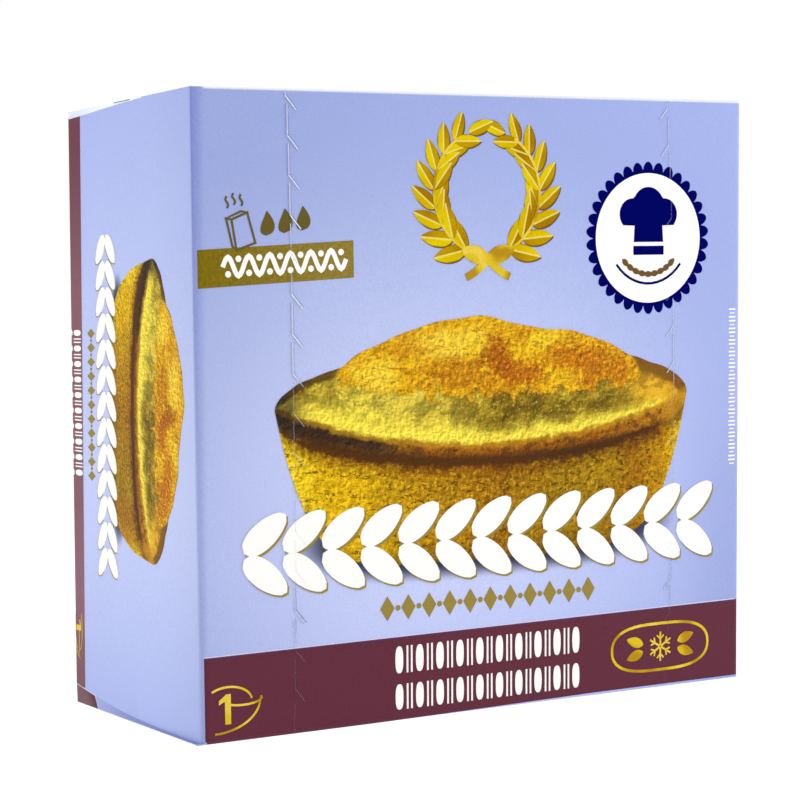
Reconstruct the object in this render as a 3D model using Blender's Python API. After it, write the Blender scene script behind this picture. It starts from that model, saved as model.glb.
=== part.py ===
"""A shut paperboard carton for one baked pastry, built as a single solid.

Metres, +Z up. The origin is the middle of the footprint, on the surface that the carton stands on.
The front panel faces -Y, and +X is to the right as seen from the front.
The outer flaps at the top and the bottom are hinged on the front panel and stand off a little at the back.
"""

import bmesh
import bpy
from mathutils import Vector

# Outside size of the shut carton
WIDTH = 0.126
DEPTH = 0.057
HEIGHT = 0.120

# Board and folds
BOARD = 0.0005
UPRIGHT_FOLD_RADIUS = 0.0012
FLAP_FOLD_RADIUS = 0.0007
GLUED_EDGE_RADIUS = 0.0003
FOLD_STEPS = 4

# Gap under each outer flap, which grows from nothing at the front to this at the back
TOP_GAP = 0.0014
BOTTOM_GAP = 0.0034
GAP_START = 0.3
GAP_STEPS = 7
INNER_FLAP_LEAN = 0.6
CUTTER_REACH = 0.001

# Tear strips: two rows of hooked cuts down the front panel
TEAR_PITCH = 0.00735
TEAR_CUTS = 16
LOWEST_BEND = 0.0085
STRAIGHT_LENGTH = 0.0054
HOOK_ACROSS = 0.0022
HOOK_DOWN = 0.0026
TEAR_END_MARGIN = 0.0010
TEAR_WIDTH = 0.0004
TEAR_DEPTH = 0.0003
LEFT_TEAR_X = -0.0434
RIGHT_TEAR_X = 0.0443
RIGHT_TEAR_BOW = 0.0018

# Printed board, as linear colour
BOARD_COLOUR = (0.42, 0.49, 0.83, 1.0)
BOARD_ROUGHNESS = 0.45

LEFT, RIGHT = -1, 1


def clear_scene():
    for thing in list(bpy.data.objects):
        bpy.data.objects.remove(thing, do_unlink=True)


def board_material():
    material = bpy.data.materials.new("printed_board")
    material.use_nodes = True
    shader = material.node_tree.nodes["Principled BSDF"]
    shader.inputs["Base Color"].default_value = BOARD_COLOUR
    shader.inputs["Roughness"].default_value = BOARD_ROUGHNESS
    shader.inputs["Metallic"].default_value = 0.0
    return material


def add_object(name, bm):
    """Closes the modelling of one mesh, with its faces pointing out, as a named object."""
    bmesh.ops.recalc_face_normals(bm, faces=bm.faces)
    mesh = bpy.data.meshes.new(name)
    bm.to_mesh(mesh)
    bm.free()
    thing = bpy.data.objects.new(name, mesh)
    bpy.context.scene.collection.objects.link(thing)
    return thing


def fold_radius(start, end):
    """The radius to which one edge of the block is folded, or 0 where an edge stays sharp."""
    upright = abs(start.z - end.z) > HEIGHT / 2
    at_front = start.y < 0 and end.y < 0
    at_glued_edge = start.x > 0 and start.y > 0
    if upright:
        return GLUED_EDGE_RADIUS if at_glued_edge else UPRIGHT_FOLD_RADIUS
    return FLAP_FOLD_RADIUS if at_front else 0.0


def carton_block():
    """The plain block of the carton, with its folds rounded by a weighted bevel."""
    bm = bmesh.new()
    bmesh.ops.create_cube(bm, size=1.0)
    for vertex in bm.verts:
        vertex.co = Vector((vertex.co.x * WIDTH, vertex.co.y * DEPTH, (vertex.co.z + 0.5) * HEIGHT))
    weight = bm.edges.layers.float.new("bevel_weight_edge")
    for edge in bm.edges:
        radius = fold_radius(edge.verts[0].co, edge.verts[1].co)
        edge[weight] = radius / UPRIGHT_FOLD_RADIUS
    block = add_object("carton", bm)
    bevel = block.modifiers.new("folds", "BEVEL")
    bevel.limit_method = "WEIGHT"
    bevel.width = UPRIGHT_FOLD_RADIUS
    bevel.segments = FOLD_STEPS
    return block


def gap_stations():
    """Places round the left side, the back and the right side, each with its way out and its share of the gap."""
    for side in (LEFT, RIGHT):
        places = []
        for step in range(GAP_STEPS + 1):
            along = GAP_START + (1.0 - GAP_START) * step / GAP_STEPS
            at_corner = step == GAP_STEPS
            place = Vector((side * WIDTH / 2, DEPTH * (along - 0.5), 0.0))
            outwards = Vector((side, 1.0 if at_corner else 0.0, 0.0))
            places.append((place, outwards, along**2))
        yield from places if side == LEFT else reversed(places)


def gap_cutter(name, flap_z, towards_middle, gap):
    """A wedge swept round three sides of the carton, between an outer flap and the flaps folded in under it."""
    bm = bmesh.new()
    sections = []
    for place, outwards, share in gap_stations():
        height = gap * share
        inner = place - outwards * height * INNER_FLAP_LEAN
        outer = place + outwards * CUTTER_REACH
        outer_height = height + CUTTER_REACH / INNER_FLAP_LEAN
        corners = (
            Vector((inner.x, inner.y, flap_z)),
            Vector((outer.x, outer.y, flap_z)),
            Vector((outer.x, outer.y, flap_z + towards_middle * outer_height)),
        )
        sections.append([bm.verts.new(corner) for corner in corners])
    for here, there in zip(sections, sections[1:]):
        for corner in range(3):
            following = (corner + 1) % 3
            bm.faces.new((here[corner], here[following], there[following], there[corner]))
    bm.faces.new(sections[0])
    bm.faces.new(sections[-1])
    bmesh.ops.triangulate(bm, faces=bm.faces)
    return add_object(name, bm)


def tear_line_x(side, height):
    """How far a tear strip lies from the middle at a height: the right one bows out at half height."""
    if side == LEFT:
        return LEFT_TEAR_X
    share = height / HEIGHT
    return RIGHT_TEAR_X + RIGHT_TEAR_BOW * 4.0 * share * (1.0 - share)


def tear_paths(side):
    """Each cut of one tear strip as a short run down and a hook towards the middle, then a plain run to the foot."""
    for cut in range(TEAR_CUTS):
        bend = LOWEST_BEND + cut * TEAR_PITCH
        start = min(bend + STRAIGHT_LENGTH, HEIGHT - TEAR_END_MARGIN)
        line = tear_line_x(side, bend)
        yield [(line, start), (line, bend), (line - side * HOOK_ACROSS, bend - HOOK_DOWN)]
    foot = tear_line_x(side, 0.0)
    yield [(foot, LOWEST_BEND - HOOK_DOWN), (foot, TEAR_END_MARGIN)]


def ribbon_outline(path, width):
    """The outline of a line of the given width along a path of points (x, z), mitred where it bends."""
    points = [Vector(point) for point in path]
    runs = [(after - before).normalized() for before, after in zip(points, points[1:])]
    one_side, other_side = [], []
    for place, point in enumerate(points):
        before = runs[max(place - 1, 0)]
        after = runs[min(place, len(runs) - 1)]
        along = (before + after).normalized()
        across = Vector((-along.y, along.x))
        reach = 0.5 * width / max(across.dot(Vector((-after.y, after.x))), 0.5)
        one_side.append(point + across * reach)
        other_side.append(point - across * reach)
    return one_side + other_side[::-1]


def tear_cutter():
    """All the cuts of both tear strips, as thin closed prisms that stand a little out of the front panel."""
    bm = bmesh.new()
    front = -DEPTH / 2
    for side in (LEFT, RIGHT):
        for path in tear_paths(side):
            outline = ribbon_outline(path, TEAR_WIDTH)
            face = bm.faces.new([bm.verts.new((point.x, front - CUTTER_REACH, point.y)) for point in outline])
            swept = bmesh.ops.extrude_face_region(bm, geom=[face])["geom"]
            pushed = [item for item in swept if isinstance(item, bmesh.types.BMVert)]
            bmesh.ops.translate(bm, verts=pushed, vec=(0.0, CUTTER_REACH + TEAR_DEPTH, 0.0))
    return add_object("tear_cuts", bm)


def cut(block, cutter):
    """Takes a cutter's shape out of the block, and leaves the cutter as a guide."""
    boolean = block.modifiers.new(cutter.name, "BOOLEAN")
    boolean.operation = "DIFFERENCE"
    boolean.solver = "EXACT"
    boolean.object = cutter
    cutter.hide_render = True
    cutter.display_type = "WIRE"


def build():
    clear_scene()
    carton = carton_block()
    carton.data.materials.append(board_material())
    cut(carton, gap_cutter("top_gap", HEIGHT - BOARD, -1.0, TOP_GAP))
    cut(carton, gap_cutter("bottom_gap", BOARD, 1.0, BOTTOM_GAP))
    cut(carton, tear_cutter())


build()
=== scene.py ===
"""Dresses a shut paperboard carton for one baked pastry: its folded board, its print and its tear strips.

The carton is in metres, +Z up, and its front panel faces -Y. Print is drawn flat in millimetres,
from a panel's middle line and its foot, and is then laid on the panel in thin layers of ink.
"""

import math
from contextlib import contextmanager

import bpy
from mathutils import Matrix, Vector


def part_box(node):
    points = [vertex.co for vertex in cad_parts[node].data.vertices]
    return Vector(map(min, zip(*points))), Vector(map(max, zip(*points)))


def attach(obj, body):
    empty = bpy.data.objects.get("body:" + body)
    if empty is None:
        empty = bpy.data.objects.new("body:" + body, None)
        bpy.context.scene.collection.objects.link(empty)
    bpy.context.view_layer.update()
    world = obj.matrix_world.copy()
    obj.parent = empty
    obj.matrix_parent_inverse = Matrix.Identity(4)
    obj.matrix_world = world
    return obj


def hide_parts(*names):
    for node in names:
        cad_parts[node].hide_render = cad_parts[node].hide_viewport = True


bl_info = {
    "name": "Pastry Carton",
    "version": (1, 0, 0),
    "blender": (4, 5, 0),
    "location": "3D View > Sidebar > Carton",
    "description": "Builds a printed paperboard carton for one pastry, with its flaps and tear strips",
    "category": "Object",
}

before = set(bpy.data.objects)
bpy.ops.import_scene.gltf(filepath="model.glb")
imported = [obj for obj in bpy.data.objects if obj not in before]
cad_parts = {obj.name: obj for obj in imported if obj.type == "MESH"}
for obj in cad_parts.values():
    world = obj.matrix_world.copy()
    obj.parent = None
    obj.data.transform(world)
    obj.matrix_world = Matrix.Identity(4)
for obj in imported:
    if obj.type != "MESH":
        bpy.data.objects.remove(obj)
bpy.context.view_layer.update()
LOW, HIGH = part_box("carton")
WIDTH, DEPTH, HEIGHT = HIGH - LOW
MM = 0.001

# Layers of ink, in metres from the board outwards, and the step in millimetres between overlapping parts
FIRST_LAYER = 0.00003
LAYER = 0.000022
BURIED = 0.0001
OVERLAP_STEP = 0.004

# How far the carton has leaned as it settled, at its foot and at its top, in metres
FOOT_LEANS = {
    "near": Vector((-0.56, 0.0, 0.0)) * MM,
    "right": Vector((-1.28, 0.0, 0.0)) * MM,
    "back": Vector((-0.67, -0.21, 0.50)) * MM,
}
TOP_LEANS = {
    "near": Vector((0.19, 0.0, 0.05)) * MM,
    "right": Vector((1.55, 0.0, 0.23)) * MM,
    "back": Vector((0.82, -0.20, -0.76)) * MM,
}

# The pictured tart, in millimetres on the front panel
TART_MIDDLE = 1.0
TART_HALF_WIDTH = 47.9
RIM_LEVEL = 60.4
WALL_HEIGHT = 30.6
FRONT_SAG = 11.4
BACK_RISE = 10.8
DOME_MIDDLE = 1.5
DOME_HALF_WIDTH = 36.8
DOME_FOOT_LEVEL = 62.4
DOME_HEIGHT = 15.9
SHADOW_LEVEL = 35.0
SHADOW_HALF_WIDTH = 45.5
SHADOW_HALF_HEIGHT = 9.2


def length_setting(label, about, metres):
    return bpy.props.FloatProperty(name=label, description=about, default=metres, unit="LENGTH")


def length_pair_setting(label, about, metres):
    """A length at the carton's foot and the same length at its top."""
    return bpy.props.FloatVectorProperty(name=label, description=about, size=2, default=metres, unit="LENGTH")


def colour_setting(label, about, linear):
    return bpy.props.FloatVectorProperty(name=label, description=about, subtype="COLOR", default=linear)


def angle_setting(label, about, degrees):
    turn = math.radians(degrees)
    return bpy.props.FloatProperty(name=label, description=about, default=turn, unit="ROTATION")


def power_setting(label, about, watts):
    return bpy.props.FloatProperty(name=label, description=about, default=watts, unit="POWER")


class CartonForm(bpy.types.PropertyGroup):
    """Sizes of the folded board."""

    board: length_setting("Flap edge", "Height of an outer flap's cut edge", 0.0002)
    upright_fold: length_setting("Upright fold", "Radius of the upright folds", 0.0012)
    flap_fold: length_setting("Flap fold", "Radius of the folds along the front's top and foot", 0.0007)
    glued_fold: length_setting("Glued edge", "Radius of the glued upright edge", 0.0003)
    crease_across: length_pair_setting(
        "Crease across",
        "How far the near crease eases into the front, at its foot and at its top",
        (0.0014, 0.0023),
    )
    crease_back: length_pair_setting(
        "Crease back",
        "How far the near crease eases into the side, at its foot and at its top",
        (0.0013, 0.0003),
    )
    top_gap: length_setting("Top gap", "Gap under the top outer flap at the back", 0.00106)
    bottom_gap: length_setting("Bottom gap", "Gap over the bottom outer flap at the back", 0.0037)
    front_bulge: length_setting("Front bulge", "How far the front and the back swell", 0.0003)
    side_bulge: length_setting("Side bulge", "How far the sides swell", 0.00003)


class CartonColours(bpy.types.PropertyGroup):
    """Colours of the board and of its inks, as linear colour."""

    # The lilacs are one ink in painted light: the narrow panels' lilacs differ from the front's, and each
    # glow colour is the lilac where the painted light is strongest
    lilac: colour_setting("Lilac", "Ground at the front's upper corners", (0.327, 0.392, 0.716))
    lilac_painted_light: colour_setting("Lilac glow", "Ground round the pictured tart", (0.603, 0.658, 0.928))
    side_lilac: colour_setting("Side lilac", "Ground of the narrow panels", (0.397, 0.469, 0.824))
    side_painted_light: colour_setting("Side glow", "The same round their small tart", (0.541, 0.604, 0.903))
    raw_board: colour_setting("Raw board", "Cut edges of the board", (0.95, 0.955, 0.97))
    purple: colour_setting("Purple", "Ink of the band", (0.121, 0.0265, 0.046))
    olive: colour_setting("Olive", "Ink of the heating label", (0.205, 0.140, 0.004))
    gold: colour_setting("Gold", "Bright gold ink", (0.72, 0.52, 0.012))
    deep_gold: colour_setting("Deep gold", "Shaded gold ink", (0.42, 0.21, 0.001))
    old_gold: colour_setting("Old gold", "Dull gold ink of the small ornaments", (0.31, 0.23, 0.045))
    navy: colour_setting("Navy", "Ink of the seal", (0.001, 0.002, 0.110))
    white: colour_setting("White", "White ink", (0.975, 0.968, 0.935))


class CartonStage(bpy.types.PropertyGroup):
    """The camera and the studio lamps."""

    lens: bpy.props.FloatProperty(
        name="Lens", description="Focal length on a 36 mm sensor", default=109.613, unit="CAMERA"
    )
    place: bpy.props.FloatVectorProperty(
        name="Camera",
        description="Where the camera stands",
        default=(-0.26129, -0.42505, 0.08317),
        unit="LENGTH",
    )
    heading: angle_setting("Heading", "How far the camera is turned", -31.337)
    tilt: angle_setting("Tilt", "How far the camera looks down", 2.673)
    roll: angle_setting("Roll", "How far the camera leans", -1.152)
    surround: bpy.props.FloatProperty(
        name="Surround", description="Light of the white studio round the carton", default=0.25, min=0.0
    )
    left_lamp: power_setting("Left lamp", "Power of the soft lamp to the camera's left", 3.9)
    right_lamp: power_setting("Right lamp", "Power of the soft lamp to the camera's right", 6.3)
    top_lamp: power_setting("Top lamp", "Power of the soft lamp overhead", 5.0)


def between(sizes, share):
    """The first size at share 0, the second at share 1, and an even way between them."""
    return sizes[0] + share * (sizes[1] - sizes[0])


def limited(share):
    """A share kept between 0 and 1."""
    return min(max(share, 0.0), 1.0)


# Finishes: the sheen of each, the millimetres in one unit of UV, and the materials mixed so far
SHEEN = 0.05
UV_SPAN = 100.0
FINISHES = {}


class Tone:
    """A value inside a finish. The usual signs on it add the Math nodes that work them out."""

    def __init__(self, finish, output):
        self.finish = finish
        self.output = output

    def __add__(self, other):
        return self.finish.maths("ADD", self, other)

    __radd__ = __add__

    def __sub__(self, other):
        return self.finish.maths("SUBTRACT", self, other)

    def __rsub__(self, other):
        return self.finish.maths("SUBTRACT", other, self)

    def __mul__(self, other):
        return self.finish.maths("MULTIPLY", self, other)

    __rmul__ = __mul__

    def __truediv__(self, other):
        return self.finish.maths("DIVIDE", self, other)

    def __pow__(self, other):
        return self.finish.maths("POWER", self, other)


class Finish:
    """One material while it is being mixed."""

    def __init__(self, name):
        self.material = bpy.data.materials.new(name)
        self.material.use_nodes = True
        self.nodes = self.material.node_tree.nodes
        self.shader = self.nodes["Principled BSDF"]
        self.shader.inputs["Specular IOR Level"].default_value = SHEEN

    def node(self, kind, settings=None, sockets=None, output=0):
        """Adds a node: first its settings, then the values or links of its sockets."""
        added = self.nodes.new(kind)
        for setting, value in (settings or {}).items():
            if setting == "stops":
                self.set_stops(added.color_ramp, value)
            else:
                setattr(added, setting, value)
        for socket, value in (sockets or {}).items():
            self.feed(added.inputs[socket], value)
        return Tone(self, added.outputs[output])

    def feed(self, socket, value):
        if isinstance(value, Tone):
            self.material.node_tree.links.new(value.output, socket)
        elif socket.type == "RGBA":
            socket.default_value = (*value, 1.0)
        else:
            socket.default_value = value

    def set_stops(self, ramp, stops):
        for place, (position, colour) in enumerate(stops):
            stop = ramp.elements[place] if place < 2 else ramp.elements.new(position)
            stop.position = position
            stop.color = (*colour, 1.0)

    def maths(self, operation, *values):
        return self.node("ShaderNodeMath", {"operation": operation}, dict(enumerate(values)))

    def step(self, value, start, end):
        """0 before start and 1 after end, with an eased way between."""
        sockets = {"Value": value, "From Min": start, "From Max": end}
        return self.node("ShaderNodeMapRange", {"interpolation_type": "SMOOTHSTEP"}, sockets)

    def mix(self, share, under, over):
        """The colour under, with the colour over laid on it by a share."""
        return self.node("ShaderNodeMix", {"data_type": "RGBA"}, {0: share, 6: under, 7: over}, 2)

    def ramp(self, value, stops):
        return self.node("ShaderNodeValToRGB", {"stops": stops}, {0: value})

    def noise(self, place, scale, detail=2.0, roughness=0.5, distortion=0.0):
        sockets = {"Vector": place, "Scale": scale, "Detail": detail}
        sockets.update({"Roughness": roughness, "Distortion": distortion})
        return self.node("ShaderNodeTexNoise", {}, sockets)

    def cells(self, place, scale):
        """Distance from the middle of scattered cells."""
        return self.node("ShaderNodeTexVoronoi", {}, {"Vector": place, "Scale": scale}, "Distance")

    def object_place(self):
        return self.node("ShaderNodeTexCoord", output="Object")

    def print_place(self):
        """Places of the print before it was laid on its panel, in millimetres."""
        drawn = self.node("ShaderNodeTexCoord", output="UV")
        return self.node("ShaderNodeVectorMath", {"operation": "SCALE"}, {0: drawn, "Scale": UV_SPAN})

    def parts(self, vector):
        """The vector's three coordinates."""
        split = self.node("ShaderNodeSeparateXYZ", {}, {0: vector}).output.node
        return [Tone(self, output) for output in split.outputs]

    def attribute(self, name):
        """A number that each point of the piece holds."""
        return self.node("ShaderNodeAttribute", {"attribute_name": name}, {}, "Fac")

    def board_surface(self, roughness=0.42, relief=0.15):
        """The satin face of printed paperboard: fine fibres under a thin varnish."""
        place = self.object_place()
        fibre = self.noise(place, 2600.0, 3.0, 0.6)
        sheen = self.noise(place, 90.0, 2.0)
        self.feed(self.shader.inputs["Roughness"], roughness + (sheen - 0.5) * 0.10 + (fibre - 0.5) * 0.08)
        sockets = {"Strength": relief, "Distance": 0.00004, "Height": fibre}
        self.feed(self.shader.inputs["Normal"], self.node("ShaderNodeBump", {}, sockets))

    def mottle(self, colour, light=1.06, dark=0.94, scale=2800.0):
        """The same colour in the fine uneven dots of an offset print."""
        grain = self.noise(self.object_place(), scale, 2.0, 0.7)
        shade = dark + (light - dark) * self.step(grain, 0.25, 0.75)
        return self.scaled(colour, shade)

    def scaled(self, colour, shade):
        """A colour made lighter or darker by a number."""
        return self.node("ShaderNodeVectorMath", {"operation": "SCALE"}, {0: colour, "Scale": shade})

    def stretched(self, place, factors):
        """A place multiplied along each axis by its own factor."""
        return self.node("ShaderNodeVectorMath", {"operation": "MULTIPLY"}, {0: place, 1: factors})

    def lumps(self, place, scale, reach, detail=3.0):
        """Small lumps lit from the upper left: above 0 on their light side and below 0 on their dark side."""
        beside = self.node("ShaderNodeVectorMath", {"operation": "ADD"}, {0: place, 1: (-reach, reach, 0.0)})
        return self.noise(place, scale, detail, 0.65) - self.noise(beside, scale, detail, 0.65)

    def larger(self, one, other):
        return self.maths("MAXIMUM", one, other)

    def size(self, value):
        """A value without its sign."""
        return self.maths("ABSOLUTE", value)

    def specks(self, place, scale, start, patches):
        """A few small round specks, in patches of their own."""
        chosen = self.step(self.noise(place, patches, 1.0), 0.60, 0.66)
        return self.step(self.cells(place, scale), start, 0.020) * chosen


def finish_of(mixer):
    """Each finish is mixed once, under its mixer's name, and shared by every piece that wears it.

    A mixer sets the surface of the finish that it is given, and returns its colour.
    """
    name = mixer.__name__
    if name not in FINISHES:
        finish = Finish(name)
        finish.feed(finish.shader.inputs["Base Color"], mixer(finish))
        FINISHES[name] = finish.material
    return FINISHES[name]


def colours():
    return bpy.context.scene.carton_colours


def plain_ink(finish, colour):
    finish.board_surface()
    return finish.mottle(colour)


def painted_crease_shade(finish, across, deep, high):
    """How strongly painted shade darkens the near crease: hard towards the side panel, and easing away into
    the front.
    """
    share = high / HEIGHT
    corner = between((FOOT_LEANS["near"].x - WIDTH / 2, TOP_LEANS["near"].x - WIDTH / 2), share)
    into_front = (across - corner) / between(form().crease_across, share)
    into_side = deep + DEPTH / 2 - between(form().crease_back, share)
    return finish.step(into_front, 1.35, 0.30) * finish.step(into_side, 0.00012, -0.00008)


# The painted light on the ground, in metres: on the front a lighter oval, on the narrow panels a lighter band
# round a level
PAINTED_LIGHT_MIDDLE = (-0.0146, 0.040)
PAINTED_LIGHT_REACH = (0.1002, 0.083)
SIDE_PAINTED_LIGHT_LEVEL = 0.047
SIDE_PAINTED_LIGHT_RISE = 0.0875
SIDE_PAINTED_LIGHT_DROP = 0.0561


def front_ground(finish, across, high):
    """The front's lilac in painted light: lighter in an oval and towards the right, a little bluer low down,
    and in painted shade in the low right corner.
    """
    aside = (across - PAINTED_LIGHT_MIDDLE[0]) / PAINTED_LIGHT_REACH[0]
    above = (high - PAINTED_LIGHT_MIDDLE[1]) / PAINTED_LIGHT_REACH[1]
    painted_light = finish.step((aside * aside + above * above) ** 0.5, 1.0, 0.0)
    ground = finish.mix(painted_light, colours().lilac, colours().lilac_painted_light)
    ground = finish.scaled(ground, (1.0 + across * 0.70) * (0.952 + high * 0.80))
    bluer = finish.stretched(ground, (1.0, 1.0, 1.045))
    ground = finish.mix(finish.step(high, 0.080, 0.030), ground, bluer)
    # Painted shade in the low right corner
    low_right_painted_shade = finish.step(across, 0.042, 0.060) * finish.step(high, 0.066, 0.036)
    return finish.mix(low_right_painted_shade, ground, finish.stretched(ground, (0.89, 0.905, 0.905)))


def side_ground(finish, deep, high):
    """A narrow panel's lilac in painted light: lighter in a band at mid height, and in painted shade close to
    the front.
    """
    above = high - SIDE_PAINTED_LIGHT_LEVEL
    painted_light = finish.step(finish.larger(above / SIDE_PAINTED_LIGHT_RISE, above / -SIDE_PAINTED_LIGHT_DROP), 1.0, 0.0)
    ground = finish.mix(painted_light, colours().side_lilac, colours().side_painted_light)
    # Painted shade close to the front, beside the near crease
    painted_shade_near_front = finish.step(deep, -0.0088, -0.0285)
    return finish.scaled(ground, (1.0 - painted_shade_near_front * 0.067) * (1.0 - deep * 0.28))


def ground_with_painted_light(finish, across, deep, high):
    """The lilac ground in painted light: lighter in a soft oval round the tart on the front and in a band on
    the narrow panels, with painted shade at the near crease.
    """
    on_side = finish.step(deep, -DEPTH / 2 + 0.0002, -DEPTH / 2 + 0.0012)
    ground = finish.mix(on_side, front_ground(finish, across, high), side_ground(finish, deep, high))
    # Painted shade darkens the ground at the near crease, weakest at the foot
    shade = painted_crease_shade(finish, across, deep, high) * between((0.10, 1.0), high / HEIGHT)
    return finish.mix(shade, ground, finish.stretched(ground, (0.76, 0.78, 0.94)))


def lilac_board(finish):
    """The lilac ground, with a few stray specks and a painted highlight along the front's top fold."""
    finish.board_surface(0.45)
    place = finish.object_place()
    across, deep, high = finish.parts(place)
    ground = ground_with_painted_light(finish, across, deep, high)
    ground = finish.scaled(ground, 0.975 + 0.05 * finish.noise(place, 45.0, 3.0))
    ground = finish.mix(finish.specks(place, 95.0, 0.040, 60.0) * 0.55, ground, (0.85, 0.88, 0.98))
    # A painted highlight along the front's rounded top fold, as if lit from above
    fold = finish.step(high, HEIGHT - 0.00050, HEIGHT - 0.00005)
    ahead = finish.step(deep, -DEPTH / 2 + 0.0012, -DEPTH / 2 + 0.0004)
    past_crease = finish.step(across, -WIDTH / 2 + 0.0022, -WIDTH / 2 + 0.0034)
    ground = finish.mix(fold * ahead * past_crease * 0.80, ground, (0.93, 0.94, 0.99))
    return finish.mottle(ground)


def raw_board(finish):
    finish.board_surface(0.7, 0.4)
    return finish.mottle(colours().raw_board, 1.02, 0.93)


def flap_edge(finish):
    """The top flap's cut edge and the gap under it: bare board in painted shade that darkens it to lilac
    towards the back.
    """
    finish.board_surface(0.7, 0.4)
    across, deep, high = finish.parts(finish.object_place())
    # Painted shade: darker and more lilac towards the back, where the gap under the flap opens
    edge = finish.mix(finish.step(deep, 0.006, 0.028), (0.93, 0.955, 0.985), (0.74, 0.785, 0.93))
    return finish.mottle(edge, 1.01, 0.97)


def dust_flap(finish):
    """The flap folded in at the foot: purple at its back end, then a pale cut edge, then lilac, both inks in
    painted shade that deepens towards the front.
    """
    finish.board_surface(0.5)
    across, along, high = finish.parts(finish.object_place())
    before_end = DUST_FLAP_END - (0.0034 - high) * 0.80 - along
    # Painted shade: the lilac darkens towards the front, deeper in the gap
    deep = finish.step(along, DUST_FLAP_END, 0.0)
    ground = finish.mix(deep, (0.35, 0.40, 0.72), (0.27, 0.32, 0.60))
    # Painted shade on the purple, darker towards its cut edge
    purple_painted_shade = finish.step(before_end, -0.0050, -0.0006)
    purple = finish.mix(purple_painted_shade, (0.188, 0.094, 0.114), (0.112, 0.042, 0.053))
    ground = finish.mix(finish.step(before_end, 0.00012, -0.00002), ground, (0.60, 0.60, 0.72))
    return finish.mottle(finish.mix(finish.step(before_end, -0.00016, -0.00028), ground, purple))


def rubbed(finish, colour):
    """Dark ink with a few rubbed specks."""
    worn = finish.specks(finish.object_place(), 130.0, 0.045, 70.0)
    return finish.mottle(finish.mix(worn * 0.35, colour, (0.45, 0.38, 0.45)), 1.10, 0.90)


def purple_ink(finish):
    finish.board_surface()
    return rubbed(finish, colours().purple)


def side_purple_ink_painted_sheen(finish):
    """The same purple on a narrow panel, lighter than the front's by a painted sheen, with more painted light
    lower down.
    """
    finish.board_surface()
    across, deep, high = finish.parts(finish.object_place())
    # Painted sheen and light: the purple at each height up the panel
    stops = [
        (0.05, (0.202, 0.084, 0.105)),
        (0.20, (0.259, 0.118, 0.151)),
        (0.34, (0.232, 0.099, 0.128)),
        (0.69, (0.232, 0.104, 0.133)),
        (0.83, (0.184, 0.070, 0.096)),
        (0.95, (0.164, 0.049, 0.075)),
    ]
    return rubbed(finish, finish.ramp(high / HEIGHT, stops))


def olive_ink(finish):
    """Olive that grows a little paler towards the right."""
    finish.board_surface()
    across, up, lift = finish.parts(finish.print_place())
    ink = finish.mix(finish.step(across, LABEL_LEFT, LABEL_RIGHT), colours().olive, (0.262, 0.190, 0.030))
    return finish.mottle(ink, 1.22, 0.82, 1500.0)


def dull_olive_ink(finish):
    return plain_ink(finish, (0.130, 0.100, 0.018))


def old_gold_ink(finish):
    return plain_ink(finish, colours().old_gold)


def white_ink(finish):
    finish.board_surface(0.4, 0.08)
    return finish.mottle(colours().white, 1.0, 0.985)


def edge_ink(finish):
    """The pale line where a purple field stops just short of the lilac ground."""
    return plain_ink(finish, (0.62, 0.64, 0.86))


def fringe_ink(finish):
    """The bluer line just inside the band's top edge, where its inks don't quite meet."""
    return plain_ink(finish, (0.118, 0.034, 0.098))


def fold_shade(finish):
    """The dark line of painted shadow where a worn fold throws its shade."""
    return plain_ink(finish, (0.09, 0.10, 0.14))


def navy_ink(finish):
    finish.board_surface()
    finish.feed(finish.shader.inputs["Specular IOR Level"], 0.0)
    return finish.mottle(colours().navy)


def brown_ink(finish):
    return plain_ink(finish, (0.16, 0.075, 0.02))


def foil_band(finish, run):
    """Soft light and dark bands that swing from 0 to 1, one for each whole number of the run."""
    return finish.maths("SINE", run * 6.28) * 0.5 + 0.5


def gold_ink(finish):
    """Gold printed in soft light and dark bands, as on foil."""
    finish.board_surface(0.40)
    place = finish.print_place()
    across, up, lift = finish.parts(place)
    band = foil_band(finish, across * 0.060 + up * 0.060 + finish.noise(place, 0.10, 2.0) * 1.4)
    ink = finish.mix(finish.step(band, 0.45, 1.0) * 0.85, colours().gold, colours().deep_gold)
    ink = finish.mix(finish.step(band, 0.20, 0.0) * 0.6, ink, (0.86, 0.64, 0.10))
    return finish.mottle(ink, 1.08, 0.90)


def gold_leaf_ink(finish):
    """Gold leaves with a lit half, a shaded half, a pale rib between them and a brown edge."""
    finish.board_surface(0.40)
    finish.feed(finish.shader.inputs["Specular IOR Level"], 0.0)
    place = finish.print_place()
    across, up, lift = finish.parts(place)
    side = finish.attribute("leaf_side")
    band = foil_band(finish, across * 0.035 - up * 0.060 + finish.noise(place, 0.10, 2.0) * 1.2)
    lit = finish.mix(band, (0.74, 0.56, 0.002), (0.62, 0.42, 0.001))
    shaded = finish.mix(band, (0.50, 0.31, 0.001), (0.36, 0.175, 0.001))
    ink = finish.mix(finish.step(side, 0.44, 0.56), shaded, lit)
    from_rib = finish.size(side - 0.5)
    ink = finish.mix(finish.step(from_rib, 0.075, 0.030) * 0.75, ink, (0.86, 0.76, 0.22))
    ink = finish.mix(finish.step(from_rib, 0.40, 0.49) * 0.70, ink, (0.20, 0.085, 0.001))
    return finish.mottle(ink, 1.08, 0.92)


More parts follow.
